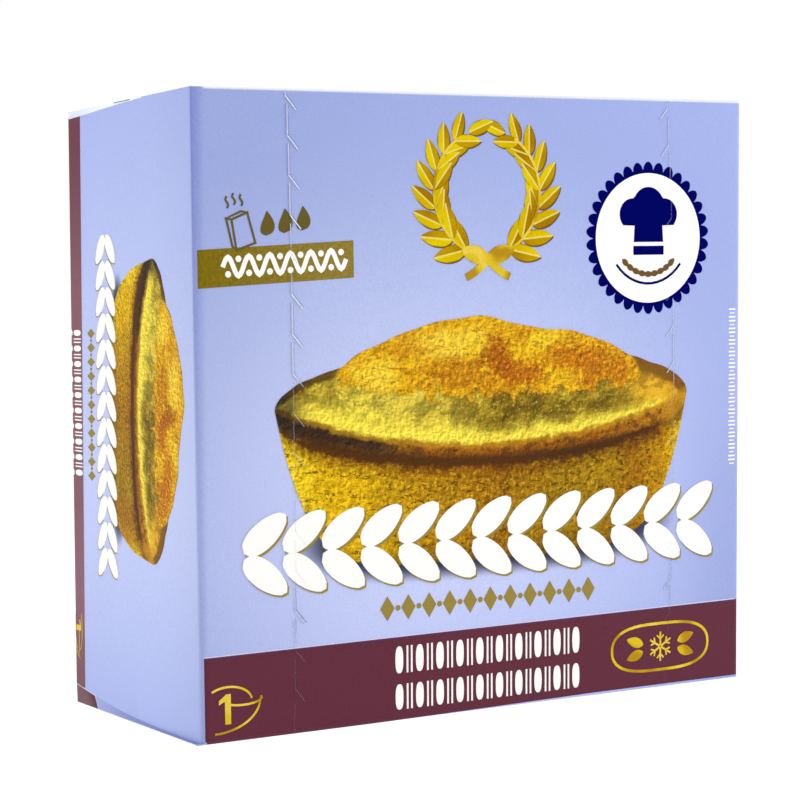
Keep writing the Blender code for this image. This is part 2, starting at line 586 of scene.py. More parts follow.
class Crust:
    """Places and textures that the parts of the pictured tart share while they are mixed."""

    def __init__(self, finish):
        self.finish = finish
        self.place = finish.print_place()
        self.across, self.up, lift = finish.parts(self.place)
        self.patches = finish.noise(self.place, 0.075, 7.0, 0.62, 0.6)
        self.clumps = finish.noise(self.place, 0.26, 6.0, 0.66, 0.5)
        self.crumbs = finish.noise(self.place, 1.1, 5.0, 0.74)
        self.relief = finish.lumps(self.place, 0.75, 0.30, 5.0)
        self.turn = (self.across - TART_MIDDLE) / TART_HALF_WIDTH
        self.arch = finish.larger(1.0 - self.turn * self.turn, 0.0) ** 0.5
        self.ragged = (self.clumps - 0.5) * 7.0 + (self.crumbs - 0.5) * 5.0

    def patched(self, colour, patches):
        """The colour with crumbly patches on it, each with its middle, reach, strength and colour."""
        for middle, reach, share, patch_colour in patches:
            across = (self.across - middle[0]) / reach[0]
            up = (self.up - middle[1]) / reach[1]
            far = (across * across + up * up) ** 0.5 + self.ragged * 0.28
            colour = self.finish.mix(self.finish.step(far, 1.15, 0.35) * share, colour, patch_colour)
        return colour


# Patches of the hollow and of the dome: middle and reach in millimetres, then strength and colour
SHADED_CREAM = (0.20, 0.115, 0.004)
HOLLOW_PATCHES = (
    ((2.5, 56.0), (6.5, 2.4), 0.85, SHADED_CREAM),
    ((28.0, 59.0), (9.0, 2.2), 0.70, SHADED_CREAM),
    ((10.0, 60.5), (9.0, 2.2), 0.55, SHADED_CREAM),
)
DOME_PATCHES = (
    ((-25.0, 66.5), (6.0, 3.6), 0.80, (0.92, 0.66, 0.045)),
    ((-9.0, 71.8), (11.0, 3.6), 0.80, (0.90, 0.64, 0.045)),
    ((14.5, 71.8), (6.0, 2.8), 0.85, (0.87, 0.60, 0.020)),
    ((20.0, 69.0), (9.0, 3.8), 0.80, (0.48, 0.135, 0.001)),
    ((28.0, 66.0), (8.5, 4.5), 0.75, (0.47, 0.140, 0.002)),
    ((-18.0, 71.0), (7.0, 1.6), 0.60, (0.55, 0.220, 0.004)),
    ((-6.0, 66.0), (10.0, 3.6), 0.75, (0.48, 0.175, 0.004)),
    ((8.5, 65.5), (8.0, 3.0), 0.85, (0.43, 0.100, 0.002)),
    ((2.2, 69.2), (4.4, 4.6), 0.90, (0.36, 0.080, 0.002)),
    ((8.5, 69.8), (3.6, 1.5), 0.60, (0.86, 0.54, 0.008)),
    ((17.0, 64.8), (3.6, 1.6), 0.50, (0.80, 0.50, 0.010)),
)
RIGHT_END_PATCH = ((40.5, 62.4), (7.5, 4.2), 0.85, (0.84, 0.46, 0.020))


def pitted(finish, crust, colour, pit_colour, share, relief):
    """A baked colour with lit crumbs, round pits and short cracks."""
    flat = finish.stretched(crust.place, (0.50, 1.25, 1.0))
    cracks = finish.step(finish.noise(flat, 0.80, 5.0, 0.66, 1.4), 0.435, 0.385)
    pits = finish.step(finish.cells(flat, 0.80) + (crust.crumbs - 0.5) * 1.6, 0.17, 0.05)
    colour = finish.scaled(colour, 1.0 + crust.relief * relief + (crust.crumbs - 0.5) * (relief * 0.8))
    return finish.mix(finish.larger(cracks, pits) * share, colour, pit_colour)


def wall_colour(finish, crust):
    """The baked wall: yellow at both edges, browner in the middle, shaded at its foot."""
    wall = finish.ramp(
        finish.step(crust.turn + (crust.patches - 0.5) * 0.35, -1.1, 1.1),
        [
            (0.0, (0.93, 0.68, 0.020)),
            (0.046, (0.72, 0.43, 0.004)),
            (0.11, (0.74, 0.44, 0.003)),
            (0.29, (0.50, 0.255, 0.003)),
            (0.515, (0.35, 0.150, 0.002)),
            (0.73, (0.38, 0.205, 0.003)),
            (0.83, (0.38, 0.210, 0.003)),
            (0.91, (0.34, 0.140, 0.001)),
            (0.965, (0.50, 0.245, 0.001)),
            (1.0, (0.86, 0.60, 0.008)),
        ],
    )
    browned = finish.step(crust.clumps * 0.6 + crust.patches * 0.4, 0.48, 0.57)
    wall = finish.mix(browned * 0.55, wall, finish.scaled(wall, 0.62))
    lit = finish.step(crust.crumbs, 0.52, 0.62) * finish.step(crust.turn, 1.4, -0.8)
    wall = finish.mix(lit * 0.50, wall, (0.80, 0.54, 0.020))
    wall = pitted(finish, crust, wall, (0.060, 0.019, 0.001), 0.80, 2.5)
    above_foot = crust.up - (RIM_LEVEL - WALL_HEIGHT) + crust.ragged * 0.6
    return finish.mix(finish.step(above_foot, 6.0, -0.5) * 0.60, wall, (0.085, 0.030, 0.001))


def rim_colour(finish, crust, brow):
    """The rim: orange brown in burnt patches, with a nearly black left end."""
    rim = finish.ramp(
        finish.step(crust.turn + (crust.patches - 0.5) * 0.4, -1.1, 1.1),
        [
            (0.0, (0.050, 0.030, 0.018)),
            (0.10, (0.240, 0.090, 0.008)),
            (0.50, (0.290, 0.092, 0.004)),
            (0.80, (0.290, 0.090, 0.002)),
            (1.0, (0.440, 0.180, 0.004)),
        ],
    )
    rim = finish.mix(finish.step(crust.crumbs, 0.52, 0.64) * 0.50, rim, (0.52, 0.24, 0.010))
    rim = finish.mix(finish.step(crust.clumps, 0.50, 0.42) * 0.60, rim, (0.070, 0.024, 0.004))
    left_end = finish.step(crust.turn + crust.ragged * 0.04, -0.28, -0.62)
    inner = finish.step(brow + crust.ragged * 0.4, -4.6, -2.4)
    rim = finish.mix(left_end * inner * 0.90, rim, (0.030, 0.017, 0.010))
    return finish.scaled(rim, 1.0 + crust.relief * 3.0)


def hollow_colour(finish, crust, depth):
    """The hollow inside the rim: pale yellow at the left and along the front, shaded towards the right."""
    hollow = finish.ramp(
        finish.step(crust.turn + crust.ragged * 0.03, -1.1, 1.1),
        [
            (0.0, (0.58, 0.37, 0.012)),
            (0.075, (0.74, 0.58, 0.050)),
            (0.24, (0.70, 0.53, 0.050)),
            (0.35, (0.64, 0.47, 0.040)),
            (0.455, (0.42, 0.28, 0.018)),
            (0.57, (0.25, 0.150, 0.006)),
            (0.68, (0.32, 0.200, 0.010)),
            (0.87, (0.38, 0.250, 0.012)),
            (1.0, (0.60, 0.34, 0.008)),
        ],
    )
    bent = finish.stretched(crust.place, (0.75, 1.1, 1.0))
    warped = finish.node("ShaderNodeVectorMath", {"operation": "ADD"}, {0: bent, 1: crust.ragged})
    lump = finish.cells(warped, 0.34) + (crust.crumbs - 0.5) * 0.8
    hollow = finish.mix(finish.step(lump, 0.36, 0.16) * 0.45, hollow, (0.86, 0.68, 0.055))
    front = finish.step(depth + crust.ragged * 1.2 + finish.step(crust.turn, 0.0, 0.8) * 2.0, 4.8, 1.8)
    hollow = finish.mix(front * 0.85, hollow, (0.93, 0.76, 0.065))
    hollow = crust.patched(hollow, HOLLOW_PATCHES)
    between_lumps = finish.step(lump, 0.44, 0.66) * finish.step(depth, 1.0, 5.0)
    hollow = finish.mix(between_lumps * 0.75, hollow, finish.scaled(hollow, 0.35))
    hollow = finish.mix(finish.step(crust.crumbs, 0.53, 0.64) * 0.35, hollow, (0.97, 0.83, 0.13))
    return finish.scaled(hollow, 1.0 + crust.relief * 2.4)


def dome_colour(finish, crust):
    """The domed lid: golden, with toasted patches, pale crumbs between them and a reddish crack."""
    toast = finish.step(crust.patches, 0.46, 0.56)
    dome = finish.mix(toast * 0.80, (0.72, 0.385, 0.006), (0.56, 0.235, 0.003))
    dome = finish.mix(finish.step(crust.clumps, 0.51, 0.60) * 0.45, dome, (0.84, 0.53, 0.014))
    dome = crust.patched(dome, DOME_PATCHES)
    lit = finish.step(crust.crumbs, 0.53, 0.64)
    dome = finish.mix(lit * 0.32, dome, (0.88, 0.60, 0.022))
    return pitted(finish, crust, dome, (0.22, 0.060, 0.002), 0.60, 2.5)


def tart_print(finish):
    """The pictured tart, from its wall up over the scorched rim and the hollow to the domed lid."""
    finish.board_surface()
    crust = Crust(finish)
    rim_foot = RIM_LEVEL - FRONT_SAG * crust.arch - crust.up
    brow = crust.up - (RIM_LEVEL + 0.55 - 8.6 * crust.arch**1.8 - 0.2 * crust.turn)
    from_back = RIM_LEVEL + BACK_RISE * crust.arch - crust.up
    picture = wall_colour(finish, crust)
    scorch = finish.step(rim_foot + crust.ragged * 0.9, 5.0, 0.6)
    scorched = finish.ramp(
        finish.step(crust.turn, -1.0, 1.0),
        [
            (0.0, (0.140, 0.034, 0.003)),
            (0.45, (0.230, 0.066, 0.001)),
            (0.80, (0.090, 0.020, 0.001)),
            (1.0, (0.110, 0.028, 0.001)),
        ],
    )
    picture = finish.mix(scorch * 0.88, picture, scorched)
    rim = rim_colour(finish, crust, brow)
    picture = finish.mix(finish.step(rim_foot + crust.ragged * 0.3, 0.3, -0.5), picture, rim)
    from_burnt_line = finish.size(rim_foot - 0.2 + crust.ragged * 0.45) + finish.step(crust.turn, 0.5, 1.0)
    picture = finish.mix(finish.step(from_burnt_line, 1.9, 0.5) * 0.82, picture, (0.052, 0.017, 0.004))
    hollow = hollow_colour(finish, crust, brow)
    toasted = finish.mix(0.5, rim, (0.62, 0.32, 0.010))
    picture = finish.mix(finish.step(brow + crust.ragged * 0.35, -1.5, -0.5), picture, toasted)
    picture = finish.mix(finish.step(brow + crust.ragged * 0.35, -0.4, 0.5), picture, hollow)
    left_tip = finish.step(crust.turn + crust.ragged * 0.012, -0.80, -0.95)
    picture = finish.mix(left_tip * finish.step(rim_foot, 2.0, 0.0) * 0.85, picture, rim)
    right_tip = finish.step(crust.turn + crust.ragged * 0.012, 0.84, 0.92)
    picture = finish.mix(right_tip * finish.step(rim_foot, 2.0, 0.0) * 0.80, picture, toasted)
    picture = crust.patched(picture, [RIGHT_END_PATCH])
    back_reach = 2.2 + crust.turn * 0.9
    into_back = (from_back + crust.ragged * 0.45) / back_reach
    back = finish.step(into_back, 1.2, 0.7) * finish.step(brow, -0.5, 1.5)
    back_rim = finish.mix(finish.step(crust.turn, 0.45, 0.65) * 0.75, rim, (0.115, 0.030, 0.008))
    picture = finish.mix(back * 0.92, picture, back_rim)
    foot = DOME_FOOT_LEVEL + 0.6 + 1.8 * finish.step(crust.turn, -0.15, -0.50)
    over = finish.larger(crust.up - foot, 0.0) / (DOME_HEIGHT - 1.4)
    uneven = (crust.clumps - 0.5) * 14.0 + (crust.crumbs - 0.5) * 4.0
    under = finish.larger(foot - crust.up + uneven, 0.0) / 1.4
    aside = (crust.across - DOME_MIDDLE) / (DOME_HALF_WIDTH - 0.8)
    far = (over * over + under * under + aside * aside) ** 0.5 + crust.ragged * 0.006
    shade = finish.step(far, 1.7, 0.98) * finish.step(crust.up, 54.0, 59.0)
    sunny = 0.30 + 0.35 * finish.step(crust.turn, -0.5, 0.2)
    picture = finish.mix(shade * sunny, picture, (0.20, 0.095, 0.006))
    picture = finish.mix(finish.step(far, 1.01, 0.97), picture, dome_colour(finish, crust))
    return finish.mottle(picture, 1.05, 0.95)


def tart_shadow(finish):
    """The soft grey shade under the pictured tart, which fades out into the ground."""
    finish.board_surface(0.45)
    across, up, lift = finish.parts(finish.print_place())
    aside = (across - TART_MIDDLE) / SHADOW_HALF_WIDTH
    above = (up - SHADOW_LEVEL) / SHADOW_HALF_HEIGHT
    far = (aside**4 + above * above) ** 0.5
    finish.feed(finish.shader.inputs["Alpha"], finish.step(far, 1.0, 0.60) * 0.85)
    return finish.mottle((0.030, 0.036, 0.075))


def cut_ink(finish, colour):
    """A cut in the board, as strong as the piece's own strength says: its light lip is torn fibres with a
    painted highlight, and its dark slit is painted shade.
    """
    finish.board_surface(0.6)
    finish.feed(finish.shader.inputs["Alpha"], finish.attribute("strength"))
    return finish.mottle(colour)


def tear_lips_fibres_and_highlight(finish):
    # Light lips: pale torn fibres, with a painted highlight on the cut's edge
    return cut_ink(finish, (0.86, 0.90, 1.0))


def tear_slits_painted_shade(finish):
    # Dark slits: painted shade in the cut
    return cut_ink(finish, (0.08, 0.09, 0.17))


def floor_white(finish):
    """A white table that glows by itself, and so looks as pale as the studio round it."""
    finish.feed(finish.shader.inputs["Roughness"], 0.85)
    finish.feed(finish.shader.inputs["Emission Color"], (1.0, 1.0, 1.0))
    finish.feed(finish.shader.inputs["Emission Strength"], 0.95)
    return finish.scaled((0.3, 0.3, 0.3), 0.99 + 0.02 * finish.noise(finish.object_place(), 8.0))


# Modelling


def deselect_all():
    bpy.ops.object.select_all(action="DESELECT")


def choose(piece):
    deselect_all()
    piece.select_set(True)
    bpy.context.view_layer.objects.active = piece


@contextmanager
def editing(piece, select="SELECT"):
    """Edit mode on one piece, with all of it selected at first, or with nothing."""
    choose(piece)
    bpy.ops.object.mode_set(mode="EDIT")
    bpy.ops.mesh.select_all(action=select)
    yield
    bpy.ops.object.mode_set(mode="OBJECT")


def named(name):
    piece = bpy.context.object
    piece.name = name
    piece.data.name = name
    return piece


def sheet(name, columns, rows, shape):
    """A flat piece: a grid whose point at share s across and t up is moved to shape(s, t)."""
    deselect_all()
    bpy.ops.mesh.primitive_grid_add(x_subdivisions=columns, y_subdivisions=rows, size=2.0)
    piece = named(name)
    for vertex in piece.data.vertices:
        across, up = shape((vertex.co.x + 1.0) / 2.0, (vertex.co.y + 1.0) / 2.0)
        vertex.co = (across, up, 0.0)
    with editing(piece):
        bpy.ops.mesh.remove_doubles(threshold=0.002)
    return piece


def outline(name, points):
    """A flat piece with the given outline: a filled circle whose points are moved to it."""
    deselect_all()
    bpy.ops.mesh.primitive_circle_add(vertices=len(points), radius=1.0, fill_type="NGON")
    piece = named(name)
    for vertex, (across, up) in zip(piece.data.vertices, points):
        vertex.co = (across, up, 0.0)
    with editing(piece):
        bpy.ops.mesh.quads_convert_to_tris(ngon_method="BEAUTY")
    return piece


def ribbon_sides(path, width, closed):
    """Both edges of a line of the given width along a path, mitred where it turns."""
    points = [Vector(point) for point in path]
    if closed:
        points = [points[-1], *points, points[0]]
    runs = [(after - before).normalized() for before, after in zip(points, points[1:])]
    sides = []
    for place in range(1, len(points) - 1) if closed else range(len(points)):
        before = runs[max(place - 1, 0)]
        after = runs[min(place, len(runs) - 1)]
        along = (before + after).normalized()
        across = Vector((-along.y, along.x))
        reach = 0.5 * width / max(across.dot(Vector((-after.y, after.x))), 0.5)
        sides.append((points[place] - across * reach, points[place] + across * reach))
    return sides + sides[:1] if closed else sides


def ribbon(name, path, width, closed=False):
    """A flat line along a path of points."""
    sides = ribbon_sides(path, width, closed)
    columns = len(sides) - 1
    return sheet(name, columns, 1, lambda s, t: sides[round(s * columns)][round(t)])


def disc(name, middle, across, up, columns=32, rows=8, power=2.0):
    """A flat oval. A power over 2 makes it squarer."""

    def shape(s, t):
        turn = math.pi * (1.0 - s)
        side = math.copysign(abs(math.cos(turn)) ** (2.0 / power), math.cos(turn))
        half = math.sin(turn) ** (2.0 / power)
        return middle[0] + across * side, middle[1] + up * half * (2.0 * t - 1.0)

    return sheet(name, columns, rows, shape)


def leaf(name, length, width, fullness=0.9, columns=12):
    """A flat pointed oval that starts at the origin and points along X."""

    def shape(s, t):
        half = 0.5 * width * math.sin(math.pi * s**0.85) ** fullness
        return length * s, half * (2.0 * t - 1.0)

    return sheet(name, columns, 2, shape)


def bar(name, low, high, columns=1):
    """A flat upright rectangle between two corners."""

    def shape(s, t):
        return between((low[0], high[0]), s), between((low[1], high[1]), t)

    return sheet(name, columns, 1, shape)


def arc_path(middle, across, up, start, end, steps):
    """Points along part of an oval, with the turns in degrees."""
    points = []
    for n in range(steps + 1):
        turn = math.radians(between((start, end), n / steps))
        points.append((middle[0] + across * math.cos(turn), middle[1] + up * math.sin(turn)))
    return points


def round_outline(middle, reach, points):
    """Points round a middle, at a distance that depends on the turn."""
    spots = []
    for step in range(points):
        turn = 2.0 * math.pi * step / points
        spots.append((middle[0] + reach(turn) * math.cos(turn), middle[1] + reach(turn) * math.sin(turn)))
    return spots


def moved(piece, across=0.0, up=0.0, turn=0.0, size=1.0):
    """Sizes, turns and moves a flat piece, in that order."""
    place = Matrix.Translation((across, up, 0.0)) @ Matrix.Rotation(math.radians(turn), 4, "Z")
    piece.data.transform(place @ Matrix.Scale(size, 4))
    return piece


def copied(part, **place):
    """A copy of a flat part, with its own mesh, at a place of its own."""
    piece = part.copy()
    piece.data = part.data.copy()
    bpy.context.scene.collection.objects.link(piece)
    return moved(piece, **place)


def gathered(name, parts):
    """Joins flat parts into one piece, each a hair above the last where they cross."""
    for order, part in enumerate(parts):
        part.data.transform(Matrix.Translation((0.0, 0.0, OVERLAP_STEP * (order % 3))))
    deselect_all()
    for part in parts:
        part.select_set(True)
    bpy.context.view_layer.objects.active = parts[0]
    if len(parts) > 1:
        bpy.ops.object.join()
    return named(name)


def discard(part):
    bpy.data.objects.remove(part, do_unlink=True)


def repeated(name, part, places):
    """Copies of one flat part at several places, joined into one piece."""
    parts = [copied(part, **place) for place in places]
    discard(part)
    return gathered(name, parts)


# The carton's own surface


def form():
    return bpy.context.scene.carton_form


def share_from_front(point):
    return limited(point.y / DEPTH + 0.5)


def settle(point):
    """Where a point of the straight carton lies once the board has swelled and leaned a little."""
    across = limited(point.x / WIDTH + 0.5)
    deep = share_from_front(point)
    high = limited(point.z / HEIGHT)
    swell = form().front_bulge * math.sin(math.pi * across) * math.sin(math.pi * high)
    side_swell = form().side_bulge * math.sin(math.pi * deep) * math.sin(math.pi * high)
    lean = Vector()
    for leans, share in ((FOOT_LEANS, 1.0 - high), (TOP_LEANS, high)):
        near = leans["near"]
        lean += share * (near + across * (leans["right"] - near) + deep * (leans["back"] - near))
    return point + lean + Vector((side_swell * (2.0 * across - 1.0), swell * (2.0 * deep - 1.0), 0.0))


def fold_drop(distance, radius):
    """How far a rounded fold falls away from its panel, at a distance in from the carton's edge."""
    inside = max(radius - max(distance, 0.0), 0.0)
    return radius - math.sqrt(radius**2 - inside**2)


def crease_sizes(height):
    """How far the near crease reaches into the front and into the side at a height."""
    share = limited(height / HEIGHT)
    return between(form().crease_across, share), between(form().crease_back, share)


def oval_drop(distance, reach, depth):
    """How far part of an oval falls away, at a distance in from its deep end."""
    share = 1.0 - limited(distance / reach)
    return depth * (1.0 - math.sqrt(1.0 - share**2))


def crease_drop(point):
    """How far the front falls back at the near crease, which eases in slowly like part of an oval."""
    across, back = crease_sizes(point.z)
    return oval_drop(point.x + WIDTH / 2, across, back)


def side_crease_drop(point):
    """How far the left side falls in at the near crease."""
    across, back = crease_sizes(point.z)
    return oval_drop(point.y + DEPTH / 2, back, across)


class Panel:
    """One face of the carton: across and up run along it, and out points away from the carton."""

    def __init__(self, foot, across, up, folds):
        self.foot = Vector(foot)
        self.across = Vector(across)
        self.up = Vector(up)
        self.out = self.across.cross(self.up)
        self.folds = folds

    def point(self, across, up, lift):
        """The place in metres of a drawn point in millimetres, lifted off the board by so many metres."""
        flat = self.foot + self.across * (across * MM) + self.up * (up * MM)
        drop = sum(fold(flat) for fold in self.folds)
        return settle(flat + self.out * (lift - drop))


def panels():
    """The six faces by name. Print on the narrow ones has its foot at the back edge."""
    upright, flap, glued = form().upright_fold, form().flap_fold, form().glued_fold
    half_width, half_depth = WIDTH / 2, DEPTH / 2
    left = [
        side_crease_drop,
        lambda p: fold_drop(half_depth - p.y, upright),
    ]
    right = [
        lambda p: fold_drop(half_depth - p.y, glued),
        lambda p: fold_drop(p.y + half_depth, upright),
    ]
    front = [
        crease_drop,
        lambda p: fold_drop(half_width - p.x, upright),
        lambda p: fold_drop(p.z, flap),
        lambda p: fold_drop(HEIGHT - p.z, flap),
    ]
    back = [
        lambda p: fold_drop(p.x + half_width, upright),
        lambda p: fold_drop(half_width - p.x, glued),
    ]
    flaps = [lambda p: fold_drop(p.y + half_depth, flap)]
    return {
        "front": Panel((0, -half_depth, 0), (1, 0, 0), (0, 0, 1), front),
        "left": Panel((-half_width, half_depth, HEIGHT / 2), (0, 0, -1), (0, -1, 0), left),
        "right": Panel((half_width, half_depth, HEIGHT / 2), (0, 0, 1), (0, -1, 0), right),
        "top": Panel((0, half_depth, HEIGHT), (-1, 0, 0), (0, -1, 0), flaps),
        "bottom": Panel((0, half_depth, 0), (1, 0, 0), (0, -1, 0), flaps),
        "back": Panel((0, half_depth, 0), (-1, 0, 0), (0, 0, 1), back),
    }


def lay(piece, face, layer, mixer, onto=None):
    """Thickens a flat piece and lays it on a face as one layer of ink, which rides on the carton's one body.

    onto gives each drawn point its place on that face.
    """
    panel = panels()[face]
    top = FIRST_LAYER + LAYER * layer
    drawn = piece.data.uv_layers.active or piece.data.uv_layers.new(name="drawn")
    for loop, spot in zip(piece.data.loops, drawn.data):
        place = piece.data.vertices[loop.vertex_index].co
        spot.uv = (place.x / UV_SPAN, place.y / UV_SPAN)
    with editing(piece):
        bpy.ops.mesh.extrude_region_move(TRANSFORM_OT_translate={"value": (0.0, 0.0, -(top + BURIED) / MM)})
        bpy.ops.mesh.select_all(action="SELECT")
        bpy.ops.mesh.normals_make_consistent(inside=False)
    for vertex in piece.data.vertices:
        across, up = onto(vertex.co.x, vertex.co.y) if onto else vertex.co.xy
        vertex.co = panel.point(across, up, top + vertex.co.z * MM)
    with editing(piece):
        bpy.ops.mesh.normals_make_consistent(inside=False)
    piece.data.materials.clear()
    piece.data.materials.append(finish_of(mixer))
    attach(piece, "root")


# The board, in metres: the thin loop of faces beside each gap, how far the bottom flap sticks out at its
# near corner, where the flap folded in at the foot ends, and the margin without cuts beside each fold
GAP_LOOP = 0.00006
FLAP_STICKS_OUT = 0.0010
DUST_FLAP_END = 0.0188
FOLD_MARGIN = 0.0030

# How much of the crease is left at the bottom flap's near corner, and how far the panels' edges are drawn
# back at the top and at the foot, as shares of the gap there
FOOT_CORNER_SHARE = 0.4
TOP_LEAN, FOOT_LEAN = 0.08, 0.02

# Where the top flap's gap starts, as a share from the front, and where its cut edge starts to show
TOP_GAP_START = 0.535
FLAP_EDGE_START = -0.008
UNDER_FLAP_START = -0.004


def stations(low, high, margin, count):
    """Places of the cuts across a panel, with one close to the fold at each end."""
    return [between((low + margin, high - margin), step / count) for step in range(count + 1)]


def top_gap_share(point):
    """Share of the full gap under the top flap, which starts a little way back from the front."""
    return max((share_from_front(point) - TOP_GAP_START) / (1.0 - TOP_GAP_START), 0.0)


def bottom_gap_share(point):
    """Share of the full gap over the bottom flap: nothing at the front, all of it at the back."""
    return share_from_front(point) ** 2.5


def board_block():
    """The plain block with its folds rounded by a weighted bevel."""
    deselect_all()
    bpy.ops.mesh.primitive_cube_add(size=1.0, location=(0.0, 0.0, HEIGHT / 2), scale=(WIDTH, DEPTH, HEIGHT))
    shell = named("carton_board")
    bpy.ops.object.transform_apply(location=True, rotation=True, scale=True)
    mesh = shell.data
    weight = mesh.attributes.new("bevel_weight_edge", "FLOAT", "EDGE")
    for edge in mesh.edges:
        start, end = (mesh.vertices[index].co for index in edge.vertices)
        upright = abs(start.z - end.z) > HEIGHT / 2
        glued = upright and start.x > 0 and start.y > 0
        at_front = start.y < 0 and end.y < 0
        radius = form().upright_fold if upright else form().flap_fold if at_front else 0.0
        weight.data[edge.index].value = (form().glued_fold if glued else radius) / form().upright_fold
    bevel = shell.modifiers.new("folds", "BEVEL")
    bevel.limit_method = "WEIGHT"
    bevel.width = form().upright_fold
    bevel.segments = 8
    choose(shell)
    bpy.ops.object.modifier_apply(modifier=bevel.name)
    return shell


def ease_crease(shell):
    """Turns the round near fold into part of an oval that eases into the front and into the side."""
    radius = form().upright_fold
    for vertex in shell.data.vertices:
        across = vertex.co.x + WIDTH / 2
        back = vertex.co.y + DEPTH / 2
        if across < radius * 1.001 and back < radius * 1.001:
            into_front, into_side = crease_sizes(vertex.co.z)
            vertex.co.x = -WIDTH / 2 + across / radius * into_front
            vertex.co.y = -DEPTH / 2 + back / radius * into_side


def square_foot_corner(shell):
    """Lets the bottom flap's near corner stay squarer than the crease over it, and stick out a little."""
    across, back = form().crease_across[0], form().crease_back[0]
    for vertex in shell.data.vertices:
        if vertex.co.z < form().board + GAP_LOOP / 2 and vertex.co.x < -WIDTH / 2 + across:
            if vertex.co.y < -DEPTH / 2 + back:
                vertex.co.y = -DEPTH / 2 + FOOT_CORNER_SHARE * (vertex.co.y + DEPTH / 2)
                vertex.co.x = -WIDTH / 2 + FOOT_CORNER_SHARE * (vertex.co.x + WIDTH / 2)
            vertex.co.x -= FLAP_STICKS_OUT * (1.0 - share_from_front(vertex.co))


def slice_at(axis, places):
    """Cuts the selected mesh across at several places along one axis."""
    normal = Vector((axis == "x", axis == "y", axis == "z"))
    for place in places:
        bpy.ops.mesh.select_all(action="SELECT")
        bpy.ops.mesh.bisect(plane_co=normal * place, plane_no=normal, threshold=GAP_LOOP / 10)


def open_gap(shell, flap_z, inwards, gap, lean_share, share_at):
    """Parts an outer flap from the panels behind it: their edge is drawn back, and a folded-in flap shows."""
    levels = [flap_z, flap_z + inwards * GAP_LOOP, flap_z + 2 * inwards * GAP_LOOP]
    for vertex in shell.data.vertices:
        share = share_at(vertex.co)
        if abs(vertex.co.z - levels[1]) < GAP_LOOP / 4:
            vertex.co.z = flap_z + inwards * GAP_LOOP * 0.2
            lean = lean_share * gap * share
            if vertex.co.y > DEPTH / 2 - form().upright_fold:
                vertex.co.y -= lean
            if abs(vertex.co.x) > WIDTH / 2 - form().upright_fold:
                vertex.co.x -= math.copysign(lean, vertex.co.x)
        elif abs(vertex.co.z - levels[2]) < GAP_LOOP / 4:
            vertex.co.z = levels[2] + inwards * gap * share


def board_materials(shell):
    """Lilac board all over, with the flaps' cut edges and with what shows in the gap under each flap."""
    mixers = (lilac_board, raw_board, dust_flap, flap_edge)
    for mixer in mixers:
        shell.data.materials.append(finish_of(mixer))
    shell.data.update()
    edge = form().board
    for face in shell.data.polygons:
        middle = face.center
        heights = [shell.data.vertices[index].co.z for index in face.vertices]
        over_foot = min(heights) - edge
        under_top = HEIGHT - edge - max(heights)
        behind = middle.y > -DEPTH / 2 + form().upright_fold
        upright = abs(face.normal.z) < 0.5
        mixer = lilac_board
        if middle.z < edge and upright and behind:
            mixer = raw_board
        if middle.z > HEIGHT - edge and upright and middle.y > FLAP_EDGE_START:
            mixer = flap_edge
        if -GAP_LOOP * 0.1 < under_top < GAP_LOOP * 0.5 and middle.y > UNDER_FLAP_START:
            mixer = flap_edge
        if GAP_LOOP * 0.1 < over_foot < GAP_LOOP * 0.5 and behind:
            mixer = dust_flap
        face.material_index = mixers.index(mixer)


def build_board():
    """The shell of the carton, which stands for the solid block."""
    shell = board_block()
    edge = form().board
    top, foot = HEIGHT - edge, edge
    with editing(shell, "DESELECT"):
        slice_at("z", stations(0.0, HEIGHT, FOLD_MARGIN + form().bottom_gap, 18))
    ease_crease(shell)
    with editing(shell, "DESELECT"):
        slice_at("x", stations(-WIDTH / 2, WIDTH / 2, FOLD_MARGIN, 20))
        slice_at("y", stations(-DEPTH / 2, DEPTH / 2, FOLD_MARGIN, 14))
        slice_at("z", [top, top - GAP_LOOP, top - 2 * GAP_LOOP, foot, foot + GAP_LOOP, foot + 2 * GAP_LOOP])
    open_gap(shell, top, -1.0, form().top_gap, TOP_LEAN, top_gap_share)
    open_gap(shell, foot, 1.0, form().bottom_gap, FOOT_LEAN, bottom_gap_share)
    square_foot_corner(shell)
    board_materials(shell)
    for vertex in shell.data.vertices:
        vertex.co = settle(vertex.co)
    choose(shell)
    bpy.ops.object.shade_smooth_by_angle(angle=math.radians(32.0))
    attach(shell, "root")
    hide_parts("carton")


# Print on the front. The band's foot rises between two shares of its length, and its top edge has a level
# at each end
FOOT_RISE = (0.28, 0.70)
BAND_LEFT = -62.30
BAND_LENGTH = 124.0
BAND_TOP = (15.97, 16.48)


def eased(s):
    """Runs from 0 to 1, slowly at both ends, which puts more columns near the folds."""
    return s * s * (3.0 - 2.0 * s)


def sloping_line(ends, levels, steps):
    """A path along a sloping edge, with its points closer together near the folds."""
    shares = [eased(n / steps) for n in range(steps + 1)]
    return [(between(ends, share), between(levels, share)) for share in shares]


def ground_strip(name, face, ends, foot, top, columns, layer, mixer):
    """A band of ink along a face, with its rows close together at the foot, where the board folds.

    foot and top hold its levels at its left and at its right end. ends holds how far across its left
    end and its right end lie, each at the band's foot and at its top.
    """

    def shape(s, t):
        share = eased(s)
        rise = limited((share - FOOT_RISE[0]) / (FOOT_RISE[1] - FOOT_RISE[0]))
        across = between((between(ends[0], t), between(ends[1], t)), share)
        return across, between((between(foot, rise), between(top, share)), t**2.2)

    lay(sheet(name, columns, 14, shape), face, layer, mixer)


